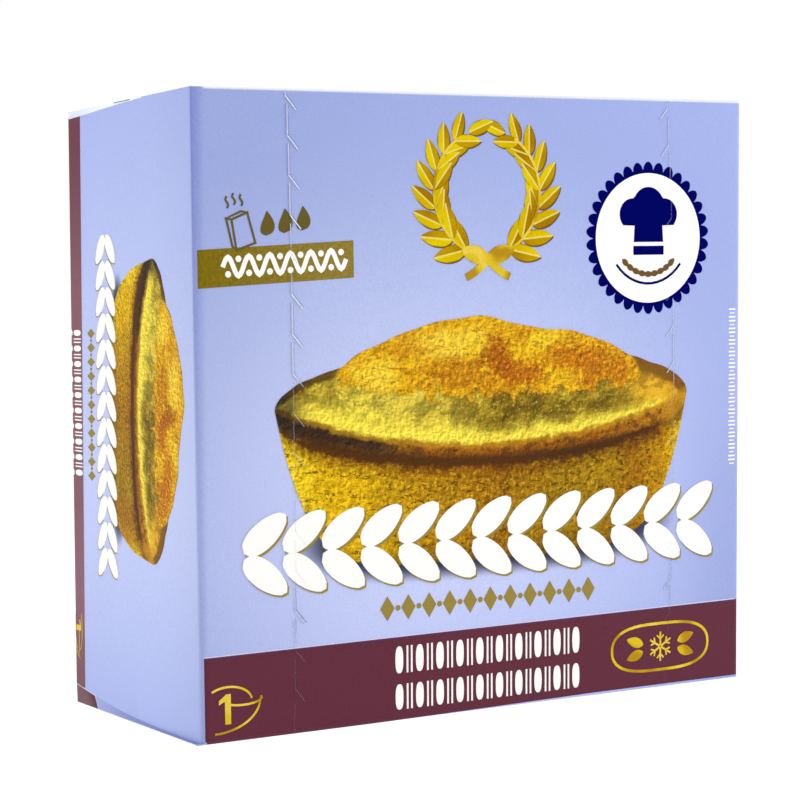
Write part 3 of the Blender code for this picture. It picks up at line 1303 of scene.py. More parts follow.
def build_front_band():
    ends = ((BAND_LEFT, BAND_LEFT), (62.8, 62.8))
    ground_strip("front_purple_band", "front", ends, (0.03, 0.68), BAND_TOP, 72, 1, purple_ink)
    line = [(BAND_LEFT - 0.15, 0.05 + 1.0 * n) for n in range(17)]
    lay(ribbon("front_crease_line", line, 0.30), "front", 0, edge_ink)
    for name, rise, width, layer, mixer in (
        ("front_band_edge", 0.11, 0.22, 1, edge_ink),
        ("front_band_fringe", -0.15, 0.30, 2, fringe_ink),
    ):
        levels = (BAND_TOP[0] + rise, BAND_TOP[1] + rise)
        line = sloping_line((BAND_LEFT, BAND_LEFT + BAND_LENGTH), levels, 60)
        lay(ribbon(name, line, width), "front", layer, mixer)


# The heating label with its wave, in millimetres
LABEL_LEFT, LABEL_RIGHT = -62.2, -29.75
LABEL_FOOT = 83.4
LABEL_HEIGHT = 7.0
LABEL_RISE = 1.5
WAVE_ENDS = (-57.2, -31.4)
WAVE_SWINGS = 6
WAVE_LEVEL = 3.6
WAVE_HEIGHT = 1.75


def label_line(across):
    """Height of the sloping label's foot."""
    return LABEL_FOOT + LABEL_RISE * (across - LABEL_LEFT) / (LABEL_RIGHT - LABEL_LEFT)


def steaming_pack():
    """Line drawing of a small tilted pack with steam over it."""
    face = [(-54.3, 90.3), (-50.4, 91.6), (-52.0, 97.2), (-55.2, 95.9)]
    side = [(-54.3, 90.3), (-55.1, 91.0), (-56.3, 96.1), (-55.2, 95.9)]
    lid = [(-55.2, 95.9), (-56.3, 96.1), (-53.3, 97.4), (-52.0, 97.2)]
    lines = [ribbon("pack_line", corners, 0.40, closed=True) for corners in (face, side, lid)]
    for start, foot in ((-56.1, 98.0), (-54.7, 98.6), (-53.2, 98.4)):
        wisp = [(start + 0.28 * math.sin(0.62 * n), foot + 0.21 * n) for n in range(11)]
        lines.append(ribbon("steam", wisp, 0.38))
    return gathered("label_steaming_pack", lines)


def label_wave():
    """A white wave with a dot in each hollow, in the label's middle."""
    steps = WAVE_SWINGS * 12
    path = []
    for n in range(steps + 1):
        across = between(WAVE_ENDS, n / steps)
        swing = WAVE_HEIGHT * math.sin(2.0 * math.pi * WAVE_SWINGS * n / steps)
        path.append((across, label_line(across) + WAVE_LEVEL + swing))
    parts = [ribbon("wave", path, 0.95)]
    for half in range(2 * WAVE_SWINGS):
        across = between(WAVE_ENDS, (half + 0.5) / (2 * WAVE_SWINGS))
        dot_level = WAVE_LEVEL + (-1.35 if half % 2 == 0 else 1.35)
        parts.append(disc("dot", (across, label_line(across) + dot_level), 0.60, 0.60, 12, 3))
    return gathered("label_wave", parts)


def label_flames():
    """Three small flames in a row."""

    def flame(s, t):
        half = 1.45 * math.sin(math.pi * s**0.6) ** 0.9
        return half * (2.0 * t - 1.0) + 0.5 * math.sin(2.6 * s), 4.6 * s

    parts = []
    for order in range(3):
        part = sheet("flame", 12, 2, flame)
        parts.append(moved(part, across=-48.2 + 3.75 * order, up=92.9 + 0.45 * order))
    return gathered("label_flames", parts)


def build_heating_label():
    def shape(s, t):
        across = between((LABEL_LEFT, LABEL_RIGHT), s**1.6)
        return across, label_line(across) + LABEL_HEIGHT * t

    lay(sheet("label_ground", 40, 1, shape), "front", 1, olive_ink)
    lay(label_wave(), "front", 3, white_ink)
    lay(steaming_pack(), "front", 2, dull_olive_ink)
    lay(label_flames(), "front", 1, dull_olive_ink)


# The wheat wreath, in millimetres, with the turns of its leaves in degrees
WREATH_MIDDLE = (0.3, 101.0)
WREATH_RADIUS = 12.2
WREATH_PAIRS = 8
FIRST_LEAF = -66.0
LEAF_STEP = 17.0
LEAF_LEAN = 36.0


def wreath_point(side, around):
    """A point of one half of the wreath: the turn counts from the right, and the left half mirrors it."""
    angle = math.radians(around if side > 0 else 180.0 - around)
    across, up = WREATH_MIDDLE
    return across + WREATH_RADIUS * math.cos(angle), up + WREATH_RADIUS * math.sin(angle)


def wreath_leaf(name):
    """A pointed leaf that knows for each point how far it lies from one side to the other."""
    width = 3.3
    part = leaf(name, 7.6, width, 0.75, 14)
    side = part.data.attributes.new("leaf_side", "FLOAT", "POINT")
    for vertex, value in zip(part.data.vertices, side.data):
        value.value = 0.5 + vertex.co.y / width
    return part


def wheat_wreath(name):
    """Two boughs that curve up from a bow, with leaves in pairs along each stalk."""
    part = wreath_leaf("wreath_leaf")
    parts = []
    for side in (-1, 1):
        for pair in range(WREATH_PAIRS):
            around = FIRST_LEAF + LEAF_STEP * pair
            ahead = around + 90.0 if side > 0 else 90.0 - around
            root = wreath_point(side, around)
            for lean in (-LEAF_LEAN, LEAF_LEAN):
                size = 1.0 - 0.03 * pair
                parts.append(copied(part, across=root[0], up=root[1], turn=ahead + lean, size=size))
        tip = wreath_point(side, FIRST_LEAF + LEAF_STEP * WREATH_PAIRS)
        parts.append(copied(part, across=tip[0], up=tip[1], turn=158.0 if side > 0 else 22.0, size=0.8))
    discard(part)
    return gathered(name, parts)


def wreath_stalks():
    """The boughs' two stalks."""
    stalks = []
    for side in (-1, 1):
        path = [wreath_point(side, FIRST_LEAF - 18.0 + 7.5 * n) for n in range(20)]
        stalks.append(ribbon("stalk", path, 0.55))
    return gathered("wreath_stalks", stalks)


def wreath_bow():
    """A small bow with two tails, where the stalks cross."""
    parts = []
    knot = (WREATH_MIDDLE[0], WREATH_MIDDLE[1] - WREATH_RADIUS - 0.8)
    for side in (-1, 1):
        loop = leaf("bow_loop", 6.4, 3.4, 0.6)
        parts.append(moved(loop, knot[0], knot[1], 90.0 - side * 72.0))
        tail = [(knot[0] + side * (0.5 + 0.9 * n), knot[1] - 0.5 - 0.85 * n + 0.05 * n * n) for n in range(6)]
        parts.append(ribbon("bow_tail", tail, 1.5))
    parts.append(disc("bow_knot", knot, 1.3, 1.2, 12, 3))
    return gathered("wreath_bow", parts)


def build_wreath():
    lay(moved(wheat_wreath("wreath_shade"), 0.22, -0.26), "front", 1, brown_ink)
    lay(wheat_wreath("wheat_wreath"), "front", 2, gold_leaf_ink)
    lay(wreath_stalks(), "front", 4, gold_ink)
    lay(wreath_bow(), "front", 5, gold_ink)


# The round seal, in millimetres
SEAL_MIDDLE = (39.1, 91.8)
SEAL_RADIUS = 15.4
SEAL_WHITE = 13.1
SCALLOPS = 34
SCALLOP_DEPTH = 1.75
SEAL_ARC_MIDDLE = (SEAL_MIDDLE[0], SEAL_MIDDLE[1] + 1.0)
SEAL_ARC_RADIUS = 10.2
SEAL_GRAINS = 9
SEAL_GRAIN_RADIUS = 8.3
SEAL_GRAIN_LENGTH = 2.2


def seal_edge(turn):
    return SEAL_RADIUS - SCALLOP_DEPTH + SCALLOP_DEPTH * abs(math.sin(SCALLOPS * turn / 2.0)) ** 0.65


def bakers_hat():
    """A tall soft hat: three puffs over a plain band."""
    puffs = [((-4.0, 2.2), 3.2), ((0.0, 3.8), 3.9), ((4.0, 2.2), 3.2)]

    def reach(turn):
        aim = Vector((math.cos(turn), math.sin(turn)))
        far = 0.0
        for middle, radius in puffs:
            along = aim.dot(Vector(middle))
            inside = radius**2 - (Vector(middle).length_squared - along**2)
            if inside > 0.0:
                far = max(far, along + math.sqrt(inside))
        return max(far, 0.6)

    crown = [point for point in round_outline((0.0, 0.0), reach, 72) if point[1] > -0.4]
    parts = [outline("hat_crown", crown)]
    parts.append(sheet("hat_body", 6, 2, lambda s, t: ((2.0 * s - 1.0) * (3.7 - 0.3 * t), -3.4 + 4.4 * t)))
    parts.append(sheet("hat_band", 6, 1, lambda s, t: ((2.0 * s - 1.0) * 3.8, -6.0 + 1.8 * t)))
    return moved(gathered("seal_hat", parts), SEAL_MIDDLE[0], SEAL_MIDDLE[1] + 2.6)


def seal_grains():
    """Grains end to end along an arc under the hat."""
    places = []
    for n in range(SEAL_GRAINS):
        turn = -44.0 + 11.0 * n
        side, ahead = math.sin(math.radians(turn)), math.cos(math.radians(turn))
        across = SEAL_ARC_MIDDLE[0] + SEAL_GRAIN_RADIUS * side - SEAL_GRAIN_LENGTH / 2 * ahead
        up = SEAL_ARC_MIDDLE[1] - SEAL_GRAIN_RADIUS * ahead - SEAL_GRAIN_LENGTH / 2 * side
        places.append({"across": across, "up": up, "turn": turn})
    return repeated("seal_grains", leaf("seal_grain", SEAL_GRAIN_LENGTH, 1.25, 0.8, 8), places)


def build_seal():
    edge = round_outline(SEAL_MIDDLE, seal_edge, 10 * SCALLOPS)
    lay(outline("seal_scallops", edge), "front", 1, navy_ink)
    lay(disc("seal_white", SEAL_MIDDLE, SEAL_WHITE, SEAL_WHITE, 48, 10), "front", 3, white_ink)
    lay(bakers_hat(), "front", 5, navy_ink)
    arc = arc_path(SEAL_ARC_MIDDLE, SEAL_ARC_RADIUS, SEAL_ARC_RADIUS, -142.0, -38.0, 13)
    lay(ribbon("seal_arc", arc, 0.5), "front", 5, navy_ink)
    lay(seal_grains(), "front", 5, brown_ink)


# The pictured tart


def tart_outline(name):
    """The outline of the pictured tart: a wall with steep ends, the back of its rim and the domed lid."""

    def shape(s, t):
        share = -math.cos(math.pi * s)
        across = TART_MIDDLE + TART_HALF_WIDTH * share
        crumbly = 0.16 * math.sin(53.0 * s) + 0.12 * math.sin(91.0 * s + 1.0)
        low = RIM_LEVEL - WALL_HEIGHT * (1.0 - abs(share) ** 7.3) + crumbly * math.sin(math.pi * s)
        high = RIM_LEVEL + BACK_RISE * math.sqrt(max(1.0 - share**2, 0.0))
        aside = (across - DOME_MIDDLE) / DOME_HALF_WIDTH
        if abs(aside) < 1.0:
            slump = 1.7 * math.sin(math.pi * limited((aside + 0.1) / 1.05))
            arch = DOME_HEIGHT * (1.0 - aside**2) ** 0.47
            high = max(high, RIM_LEVEL + 0.6 + arch - slump + 0.30 * math.sin(31.0 * s))
        return across, between((low, high + crumbly * math.sin(math.pi * s)), t)

    return sheet(name, 110, 10, shape)


def tart_picture(face, onto=None):
    """The picture of a plain oval tart, with the soft shadow under it."""

    def shade(s, t):
        across = TART_MIDDLE + (2.0 * s - 1.0) * (SHADOW_HALF_WIDTH + 0.5)
        return across, SHADOW_LEVEL + SHADOW_HALF_HEIGHT * (2.1 * t - 1.05)

    lay(sheet(face + "_tart_shadow", 40, 8, shade), face, 1, tart_shadow, onto)
    lay(tart_outline(face + "_tart"), face, 3, tart_print, onto)


def build_front_tart():
    tart_picture("front")


# The leafy border, in millimetres
BORDER_LEFT = -54.4
BORDER_MIDDLE = 34.0
BORDER_PAIRS = 13
BORDER_PITCH = 8.37
SHADE_SHIFT = (0.35, -0.42)
DIAMOND_ROW = (-25.5, 26.4)
DIAMONDS = 11


def leaf_border(name):
    """A border of plump leaves, pair after pair."""
    part = leaf("border_leaf", 11.2, 5.2, 0.50, 16)
    places = []
    for pair in range(BORDER_PAIRS):
        root = BORDER_LEFT + 0.5 + BORDER_PITCH * pair
        for side in (-1, 1):
            places.append({"across": root, "up": BORDER_MIDDLE + side * 0.55, "turn": side * 37.0})
    return repeated(name, part, places)


def title_border(face, layer, onto=None):
    """The white border and the dull gold edge that shows below and to its right."""
    lay(moved(leaf_border(face + "_border_shade"), *SHADE_SHIFT), face, layer, old_gold_ink, onto)
    lay(leaf_border(face + "_border"), face, layer + 1, white_ink, onto)


def diamond_row(name, ends, level, count):
    """A row of diamonds with a dot between each two."""
    diamond = outline("diamond", [(1.60, 0.0), (0.0, 2.4), (-1.60, 0.0), (0.0, -2.4)])
    pitch = (ends[1] - ends[0]) / count
    parts = []
    for n in range(count):
        middle = ends[0] + pitch * (n + 0.5)
        parts.append(copied(diamond, across=middle, up=level))
        if n < count - 1:
            parts.append(disc("dot", (middle + pitch / 2, level), 0.55, 0.55, 10, 3))
    discard(diamond)
    return gathered(name, parts)


def build_title():
    title_border("front", 5)
    lay(diamond_row("front_diamonds", DIAMOND_ROW, 21.75, DIAMONDS), "front", 1, old_gold_ink)


# Ornaments in the purple band


def bead_row(ends, level, height, beads):
    """A row of beads with two thin reels between each two."""
    pitch = (ends[1] - ends[0]) / beads
    parts = []
    for n in range(beads):
        middle = ends[0] + pitch * (n + 0.5)
        parts.append(disc("bead", (middle, level), pitch * 0.19, height / 2, 16, 4, 2.6))
        if n < beads - 1:
            for side in (-1, 1):
                low, high = (middle + pitch * (0.5 + side * 0.105 + half) for half in (-0.042, 0.042))
                parts.append(bar("reel", (low, level - height / 2), (high, level + height / 2)))
    return parts


def bead_rows(name, ends, rows, beads):
    """Rows of beads one over the other, each with its level and its height."""
    return gathered(name, [part for level, height in rows for part in bead_row(ends, level, height, beads)])


def numeral_one(left, foot, height):
    """A plain bold figure one."""
    width = 0.44 * height
    stem = 0.5 * width
    flag = 0.20 * height
    points = [
        (width, 0.0),
        (width, height),
        (width - 0.75 * stem, height),
        (0.0, height - flag),
        (0.0, height - 1.7 * flag),
        (width - stem, height - 1.15 * flag),
        (width - stem, 0.0),
    ]
    return outline("numeral_one", [(left + across, foot + up) for across, up in points])


def portion_mark(name):
    """A gold figure one beside the outline of a small tart."""
    lid = arc_path((-57.6, 7.4), 5.0, 2.9, 132.0, 8.0, 16)
    rim = arc_path((-54.5, 7.7), 3.9, 1.0, 20.0, -150.0, 14)
    cup = arc_path((-60.4, 7.6), 9.5, 5.8, 0.0, -90.0, 18)
    parts = [numeral_one(-59.5, 3.4, 5.6)]
    parts += [ribbon("mark_line", line, 0.42) for line in (lid, rim, cup)]
    return gathered(name, parts)


def signed_power(value, power):
    """The power of a value's size, with the value's own sign."""
    return math.copysign(abs(value) ** power, value)


def snowflake(middle):
    """Six arms with two barbs each."""
    parts = []
    start = Vector(middle)
    for n in range(6):
        turn = math.radians(30.0 + 60.0 * n)
        aim = Vector((math.cos(turn), math.sin(turn)))
        parts.append(ribbon("snow_arm", [start + aim * 0.15, start + aim * 3.0], 0.42))
        for side in (-1, 1):
            barb = Matrix.Rotation(side * math.radians(48.0), 2) @ aim
            fork = start + aim * 1.55
            parts.append(ribbon("snow_barb", [fork, fork + barb * 1.15], 0.34))
    return parts


def cold_mark():
    """An oval ring round a snowflake, with two grains on either side."""
    middle = (42.3, 8.45)
    ring = []
    for n in range(48):
        turn = 2.0 * math.pi * n / 48
        across = middle[0] + 12.3 * signed_power(math.cos(turn), 0.62)
        ring.append((across, middle[1] + 4.75 * signed_power(math.sin(turn), 0.85)))
    parts = [ribbon("cold_ring", ring, 0.58, closed=True), *snowflake(middle)]
    grain = leaf("cold_grain", 4.4, 2.1, 0.8)
    for side in (-1, 1):
        for nudge in (-1.3, 1.3):
            turn = (0.0 if side > 0 else 180.0) + side * nudge * 14.0
            parts.append(copied(grain, across=middle[0] + side * 4.4, up=middle[1] + nudge * 0.55, turn=turn))
    discard(grain)
    return gathered("cold_mark", parts)


def build_band_print():
    rows = ((11.75, 5.2), (4.6, 4.9))
    lay(bead_rows("band_beads", (-22.9, 23.3), rows, 10), "front", 3, white_ink)
    lay(portion_mark("portion_mark"), "front", 3, gold_ink)
    lay(cold_mark(), "front", 3, gold_ink)


def build_tick_marks():
    """The fine column of short ticks up the front's right edge."""
    tick = bar("tick", (-0.85, -0.17), (0.85, 0.17))
    places = [{"across": 60.85, "up": 44.9 + 0.80 * n, "size": 1.0 if n % 3 else 0.7} for n in range(41)]
    lay(repeated("edge_ticks", tick, places), "front", 1, white_ink)


# The tear strips, in millimetres
TEAR_PITCH = 7.35
TEAR_CUTS = 16
LOWEST_BEND = 8.5
STRAIGHT_LENGTH = 5.8
LEFT_HOOK = (2.2, 2.6)
RIGHT_HOOK = (1.75, 2.1)
RIGHT_TEAR_DROP = 0.9
TEAR_END_MARGIN = 0.3
LEFT_TEAR = -43.02
LEFT_TEAR_TURN = 0.85
LEFT_TEAR_FOOT_TURN = 0.65
RIGHT_TEAR = 43.7
RIGHT_TEAR_BOW = 1.8
LIP_WIDTH = 0.20
SLIT_WIDTH = 0.12
SLIT_BESIDE_LIP = -0.18

# How strongly each cut's lip of torn fibres and painted highlight, and its slit of painted shade, show on the
# left strip and on the right one
LIP_STRENGTH = {("straight", -1): 0.60, ("hook", -1): 0.85, ("straight", 1): 0.32, ("hook", 1): 0.55}
SLIT_STRENGTH = {("straight", -1): 0.22, ("hook", -1): 0.28, ("straight", 1): 0.11, ("hook", 1): 0.14}

# The level under which they change towards the foot, and how much of them is left or added there
TEAR_LOW = 60.0
LIP_AT_FOOT = 0.40
SLIT_AT_FOOT = 2.0

# The levels between which each strip crosses ink, and how much of the strength is left there and on the band
INKED = {
    -1: ((27.0, 66.0), (LABEL_FOOT, LABEL_FOOT + 8.0)),
    1: ((27.0, 64.0), (SEAL_MIDDLE[1] - SEAL_RADIUS, SEAL_MIDDLE[1] + SEAL_RADIUS)),
}
STRENGTH_ON_INK = 0.20
STRENGTH_ON_BAND = 0.09


def tear_across(side, up):
    """How far across a tear strip lies: the left one turns out at its ends, and the right one bows out."""
    share = up * MM / HEIGHT
    if side < 0:
        return LEFT_TEAR - LEFT_TEAR_TURN * share**8 - LEFT_TEAR_FOOT_TURN * (1.0 - share) ** 4
    return RIGHT_TEAR + RIGHT_TEAR_BOW * 4.0 * share * (1.0 - share)


def tear_paths(side):
    """Each cut's two lines, a short run down and a hook towards the middle, then a plain run to the foot."""
    top = HEIGHT / MM - TEAR_END_MARGIN
    hook = LEFT_HOOK if side < 0 else RIGHT_HOOK
    lowest = LOWEST_BEND if side < 0 else LOWEST_BEND - RIGHT_TEAR_DROP
    for cut in range(TEAR_CUTS):
        bend = lowest + cut * TEAR_PITCH
        line = tear_across(side, bend)
        start = min(bend + STRAIGHT_LENGTH, top)
        yield "straight", [(line, start), (line, bend)]
        yield "hook", [(line, bend), (line - side * hook[0], bend - hook[1])]
    line = tear_across(side, 0.0)
    yield "straight", [(line, lowest - hook[1]), (line, TEAR_END_MARGIN)]


def beside(path, distance):
    """The path moved to the side that lies to the right of its way."""
    return [right for right, left in ribbon_sides(path, 2.0 * distance, False)]


def tear_strength(side, up, at_foot):
    """How clearly a cut shows at a height: well on the plain ground, faintly on ink."""
    low_down = 1.0 + (at_foot - 1.0) * max(0.0, 1.0 - up / TEAR_LOW)
    if up < BAND_TOP[0]:
        return STRENGTH_ON_BAND * low_down
    on_ink = any(low < up < high for low, high in INKED[side])
    return (STRENGTH_ON_INK if on_ink else 1.0) * low_down


def build_tear_strips():
    for mixer, offset, width, strengths, at_foot in (
        (tear_lips_fibres_and_highlight, 0.0, LIP_WIDTH, LIP_STRENGTH, LIP_AT_FOOT),
        (tear_slits_painted_shade, SLIT_BESIDE_LIP, SLIT_WIDTH, SLIT_STRENGTH, SLIT_AT_FOOT),
    ):
        parts = []
        for side in (-1, 1):
            for kind, path in tear_paths(side):
                part = ribbon("cut", beside(path, offset) if offset else path, width)
                strength = part.data.attributes.new("strength", "FLOAT", "POINT")
                for vertex, value in zip(part.data.vertices, strength.data):
                    value.value = strengths[kind, side] * tear_strength(side, vertex.co.y, at_foot)
                parts.append(part)
        lay(gathered(mixer.__name__, parts), "front", 8, mixer)


# Print on the narrow panels and the outer flaps


def narrow_title(across, up):
    """Where the front's border lies on a narrow panel."""
    return -0.8 + 0.6145 * (across - 1.0), 17.75 - 0.0088 * across + 0.594 * (up - BORDER_MIDDLE)


def narrow_row(across, up):
    """Where a row drawn at level 0 lies on a narrow panel."""
    return -1.35 + 0.603 * across, 10.27 - 0.0125 * across + 0.75 * up


def narrow_tart(across, up):
    """Where the front's tart lies on a narrow panel, seen more from above: its wall is lower there."""
    bend = RIM_LEVEL - 0.9 * FRONT_SAG
    above = 0.81 * (up - bend) if up > bend else 0.475 * (up - bend)
    return -0.45 + 0.6036 * (across - TART_MIDDLE), 30.15 - 0.0135 * (across - TART_MIDDLE) + above


def narrow_print(face, half_length, strip, ends):
    """The front's print again at a smaller size, with its band along the back edge."""

    def mark_place(across, up):
        return half_length - 18.0 + 0.9 * (across + 60.4), 0.45 + 0.42 * (up - 1.4)

    ground_strip(face + "_purple_strip", face, ends, (0.15, 0.15), strip, 40, 1, side_purple_ink_painted_sheen)
    line = sloping_line((ends[0][1], ends[1][1]), (strip[0] + 0.06, strip[1] + 0.06), 30)
    lay(ribbon(face + "_strip_line", line, 0.14), face, 1, edge_ink)
    rows = ((3.90, 3.4), (0.90, 1.3))
    lay(bead_rows(face + "_strip_beads", (-17.0, 14.4), rows, 10), face, 3, white_ink)
    lay(portion_mark(face + "_portion_mark"), face, 3, gold_ink, mark_place)
    lay(diamond_row(face + "_diamonds", DIAMOND_ROW, 0.0, DIAMONDS), face, 1, old_gold_ink, narrow_row)
    title_border(face, 5, narrow_title)
    tart_picture(face, narrow_tart)


def build_narrow_print():
    narrow_print("left", 60.0, (6.85, 5.25), ((-58.6, -58.85), (55.9, 56.5)))
    narrow_print("right", 60.0, (5.25, 6.85), ((-55.9, -56.5), (58.6, 58.85)))


def build_flap_print():
    ends = ((-62.7, -62.7), (62.7, 62.7))
    narrow_print("top", 63.0, (5.4, 5.0), ends)
    narrow_print("bottom", 63.0, (5.2, 5.4), ends)


# The back


def rounded_box(name, low, high, radius, columns):
    """A flat box with round corners."""
    middle = ((low[0] + high[0]) / 2, (low[1] + high[1]) / 2)
    half = ((high[0] - low[0]) / 2, (high[1] - low[1]) / 2)

    def shape(s, t):
        across = half[0] * (1.0 - math.cos(math.pi * s)) - half[0]
        past = max(abs(across) - (half[0] - radius), 0.0)
        height = half[1] - radius + math.sqrt(max(radius**2 - past**2, 0.0))
        return middle[0] + across, middle[1] + height * (2.0 * t - 1.0)

    return sheet(name, columns, 12, shape)


def ruled_lines(name):
    """Two blocks of eight ruled lines, each with one upright rule."""
    rules = []
    for left, right in ((-46.0, -3.0), (3.0, 46.0)):
        for n in range(8):
            rules.append(bar("rule", (left, 37.5 + 5.6 * n), (right, 37.85 + 5.6 * n), 8))
    rules += [bar("rule", (left, 36.0), (left + 0.35, 78.5)) for left in (-17.0, 31.0)]
    return gathered(name, rules)


def build_back_print():
    """A purple ground with a pale panel of ruled lines, the border, and a row each of diamonds and beads."""

    def border_place(across, up):
        return 0.8 * (across - 1.0), 100.0 + 0.8 * (up - BORDER_MIDDLE)

    ends = ((-62.7, -62.7), (62.3, 62.3))
    ground_strip("back_purple_ground", "back", ends, (4.7, 4.7), (118.1, 118.1), 60, 1, purple_ink)
    lay(rounded_box("back_panel", (-52.0, 30.0), (52.0, 84.0), 4.0, 40), "back", 3, lilac_board)
    lay(ruled_lines("back_rules"), "back", 5, purple_ink)
    title_border("back", 3, border_place)
    lay(diamond_row("back_diamonds", (-36.0, 36.0), 17.5, 15), "back", 3, old_gold_ink)
    lay(bead_rows("back_beads", (-36.0, 36.0), ((10.5, 3.6),), 15), "back", 3, white_ink)
    edge = ribbon("back_glued_edge", [(-62.55, 3.8 + 5.2 * n) for n in range(23)], 0.45)
    lay(edge, "back", 2, raw_board)


# Worn folds, each a line of so many steps
WORN_STEPS = 28


def worn_path(half, gap, share_at, side, reach):
    """A line just inside a fold of a side panel, which drops with the fold where the flap's gap opens."""
    path = []
    for n in range(WORN_STEPS + 1):
        up = between(reach, n / WORN_STEPS)
        share = share_at(Vector((0.0, DEPTH / 2 - up * MM, 0.0)))
        path.append((side * ((half - gap * share) / MM - 0.05), up))
    return path


def build_worn_folds():
    """The pale worn lines along the side panels' top and bottom folds, which show towards the back."""
    half = HEIGHT / 2 - form().board - 2 * GAP_LOOP
    for face, sign in (("left", 1.0), ("right", -1.0)):
        top = worn_path(half, form().top_gap, top_gap_share, -sign, (1.5, 27.5))
        lay(ribbon(face + "_top_worn_fold", top, 0.10), face, 2, raw_board)
        foot = worn_path(half, form().bottom_gap, bottom_gap_share, sign, (1.2, 10.0))
        lay(ribbon(face + "_foot_worn_fold", foot, 0.075), face, 2, raw_board)
    # A dark line of painted shadow under the left side's top flap
    shade = [(-59.92, 23.3 + 7.3 * n / 12) for n in range(13)]
    lay(ribbon("left_top_fold_shade", shade, 0.15), "left", 2, fold_shade)


# The stage, in metres
PURE_WHITE = (1.0, 1.0, 1.0, 1.0)
FLOOR_SIZE = 6.0
FLOOR_LEVEL = -0.00025


def soft_lamp(name, place, size, power):
    """A square soft lamp that faces the carton and doesn't show itself."""
    bpy.ops.object.light_add(type="AREA", location=place)
    lamp = bpy.context.object
    lamp.name = name
    lamp.data.shape = "SQUARE"
    lamp.data.size = size
    lamp.data.energy = power
    aim = Vector((0.0, 0.0, HEIGHT / 2)) - Vector(place)
    lamp.rotation_euler = aim.to_track_quat("-Z", "Y").to_euler()
    lamp.visible_camera = False


def build_floor():
    deselect_all()
    place = (0.0, 0.0, FLOOR_LEVEL)
    bpy.ops.mesh.primitive_grid_add(x_subdivisions=8, y_subdivisions=8, size=FLOOR_SIZE, location=place)
    floor = named("floor")
    floor.data.materials.append(finish_of(floor_white))


def build_studio(stage):
    """A world that the camera sees as white, and that lights the carton less strongly than it looks."""
    world = bpy.data.worlds.new("studio")
    bpy.context.scene.world = world
    world.use_nodes = True
    nodes = world.node_tree.nodes
    links = world.node_tree.links
    seen = nodes["Background"]
    around = nodes.new("ShaderNodeBackground")
    for background, strength in ((seen, 1.0), (around, stage.surround)):
        background.inputs["Color"].default_value = PURE_WHITE
        background.inputs["Strength"].default_value = strength
    path = nodes.new("ShaderNodeLightPath")
    mixed = nodes.new("ShaderNodeMixShader")
    links.new(path.outputs["Is Camera Ray"], mixed.inputs[0])
    links.new(around.outputs[0], mixed.inputs[1])
    links.new(seen.outputs[0], mixed.inputs[2])
    links.new(mixed.outputs[0], nodes["World Output"].inputs["Surface"])


def build_camera(stage):
    bpy.ops.object.camera_add(location=stage.place)
    camera = bpy.context.object
    turn = Matrix.Rotation(stage.heading, 4, "Z") @ Matrix.Rotation(math.radians(90.0) - stage.tilt, 4, "X")
    camera.rotation_euler = (turn @ Matrix.Rotation(stage.roll, 4, "Z")).to_euler()
    camera.data.sensor_width = 36.0
    camera.data.lens = stage.lens
    bpy.context.scene.camera = camera


def build_stage(stage):
    """The white table and studio, the soft lamps and the camera."""
    build_floor()
    build_studio(stage)
    soft_lamp("left_lamp", (-0.80, 0.48, 0.16), 0.6, stage.left_lamp)
    soft_lamp("right_lamp", (0.80, -0.48, 0.16), 0.6, stage.right_lamp)
    soft_lamp("top_lamp", (-0.05, -0.10, 0.90), 0.7, stage.top_lamp)
    build_camera(stage)
    bpy.context.scene.view_settings.view_transform = "Standard"


# Operators and their panel


class CARTON_OT_board(bpy.types.Operator):
    """Build the folded board with its outer flaps and cut edges"""

    bl_idname = "carton.board"
    bl_label = "Board"

    def execute(self, context):
        build_board()
        return {"FINISHED"}


class CARTON_OT_worn_folds(bpy.types.Operator):
    """Lay the pale worn lines along the side panels' folds"""

    bl_idname = "carton.worn_folds"
    bl_label = "Worn Folds"

    def execute(self, context):
        build_worn_folds()
        return {"FINISHED"}


class CARTON_OT_front_band(bpy.types.Operator):
    """Print the purple band along the front's foot"""

    bl_idname = "carton.front_band"
    bl_label = "Purple Band"

    def execute(self, context):
        build_front_band()
        return {"FINISHED"}


class CARTON_OT_heating_label(bpy.types.Operator):
    """Print the olive label with its wave, flames and steaming pack"""

    bl_idname = "carton.heating_label"
    bl_label = "Heating Label"

    def execute(self, context):
        build_heating_label()
        return {"FINISHED"}


class CARTON_OT_wreath(bpy.types.Operator):
    """Print the gold wheat wreath and its bow"""

    bl_idname = "carton.wreath"
    bl_label = "Wheat Wreath"

    def execute(self, context):
        build_wreath()
        return {"FINISHED"}


class CARTON_OT_seal(bpy.types.Operator):
    """Print the round scalloped seal"""

    bl_idname = "carton.seal"
    bl_label = "Round Seal"

    def execute(self, context):
        build_seal()
        return {"FINISHED"}


class CARTON_OT_front_tart(bpy.types.Operator):
    """Print the picture of an oval tart"""

    bl_idname = "carton.front_tart"
    bl_label = "Tart Picture"

    def execute(self, context):
        build_front_tart()
        return {"FINISHED"}


class CARTON_OT_title(bpy.types.Operator):
    """Print the white leaf border and the row of diamonds under it"""

    bl_idname = "carton.title"
    bl_label = "Leaf Border"

    def execute(self, context):
        build_title()
        return {"FINISHED"}


class CARTON_OT_band_print(bpy.types.Operator):
    """Print the beads and the gold marks on the purple band"""

    bl_idname = "carton.band_print"
    bl_label = "Band Ornaments"

    def execute(self, context):
        build_band_print()
        build_tick_marks()
        return {"FINISHED"}


class CARTON_OT_tear_strips(bpy.types.Operator):
    """Cut the two hooked tear strips down the front"""

    bl_idname = "carton.tear_strips"
    bl_label = "Tear Strips"

    def execute(self, context):
        build_tear_strips()
        return {"FINISHED"}


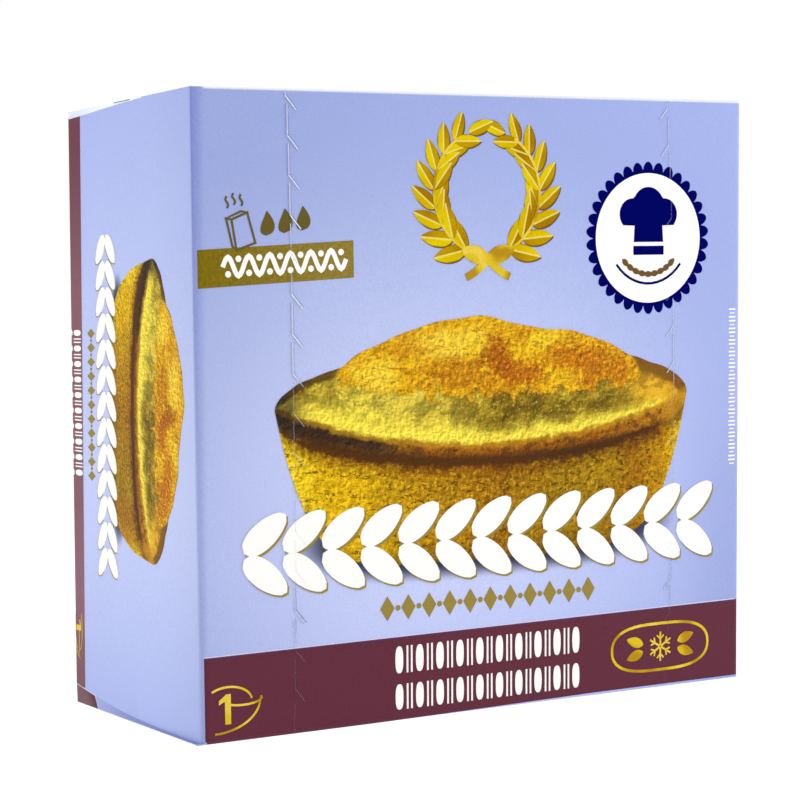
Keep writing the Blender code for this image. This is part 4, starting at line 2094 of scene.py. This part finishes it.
class CARTON_OT_narrow_print(bpy.types.Operator):
    """Print the two side panels"""

    bl_idname = "carton.narrow_print"
    bl_label = "Side Print"

    def execute(self, context):
        build_narrow_print()
        return {"FINISHED"}


class CARTON_OT_flap_print(bpy.types.Operator):
    """Print the top and bottom outer flaps"""

    bl_idname = "carton.flap_print"
    bl_label = "Flap Print"

    def execute(self, context):
        build_flap_print()
        return {"FINISHED"}


class CARTON_OT_back_print(bpy.types.Operator):
    """Print the back panel"""

    bl_idname = "carton.back_print"
    bl_label = "Back Print"

    def execute(self, context):
        build_back_print()
        return {"FINISHED"}


class CARTON_OT_stage(bpy.types.Operator):
    """Set out the white table, the studio lamps and the camera"""

    bl_idname = "carton.stage"
    bl_label = "Stage"

    def execute(self, context):
        build_stage(context.scene.carton_stage)
        return {"FINISHED"}


OPERATORS = (
    CARTON_OT_stage,
    CARTON_OT_board,
    CARTON_OT_worn_folds,
    CARTON_OT_front_band,
    CARTON_OT_heating_label,
    CARTON_OT_wreath,
    CARTON_OT_seal,
    CARTON_OT_front_tart,
    CARTON_OT_title,
    CARTON_OT_band_print,
    CARTON_OT_tear_strips,
    CARTON_OT_narrow_print,
    CARTON_OT_flap_print,
    CARTON_OT_back_print,
)


class CARTON_PT_panel(bpy.types.Panel):
    """Lists the steps that build the carton"""

    bl_idname = "CARTON_PT_panel"
    bl_label = "Pastry Carton"
    bl_space_type = "VIEW_3D"
    bl_region_type = "UI"
    bl_category = "Carton"

    def draw(self, context):
        for operator in OPERATORS:
            self.layout.operator(operator.bl_idname)


CLASSES = (CartonForm, CartonColours, CartonStage, *OPERATORS, CARTON_PT_panel)


def register():
    for each in CLASSES:
        bpy.utils.register_class(each)
    bpy.types.Scene.carton_form = bpy.props.PointerProperty(type=CartonForm)
    bpy.types.Scene.carton_colours = bpy.props.PointerProperty(type=CartonColours)
    bpy.types.Scene.carton_stage = bpy.props.PointerProperty(type=CartonStage)


def unregister():
    del bpy.types.Scene.carton_stage
    del bpy.types.Scene.carton_colours
    del bpy.types.Scene.carton_form
    for each in reversed(CLASSES):
        bpy.utils.unregister_class(each)


def main():
    register()
    for operator in OPERATORS:
        group, action = operator.bl_idname.split(".")
        getattr(getattr(bpy.ops, group), action)()


if __name__ == "__main__":
    main()
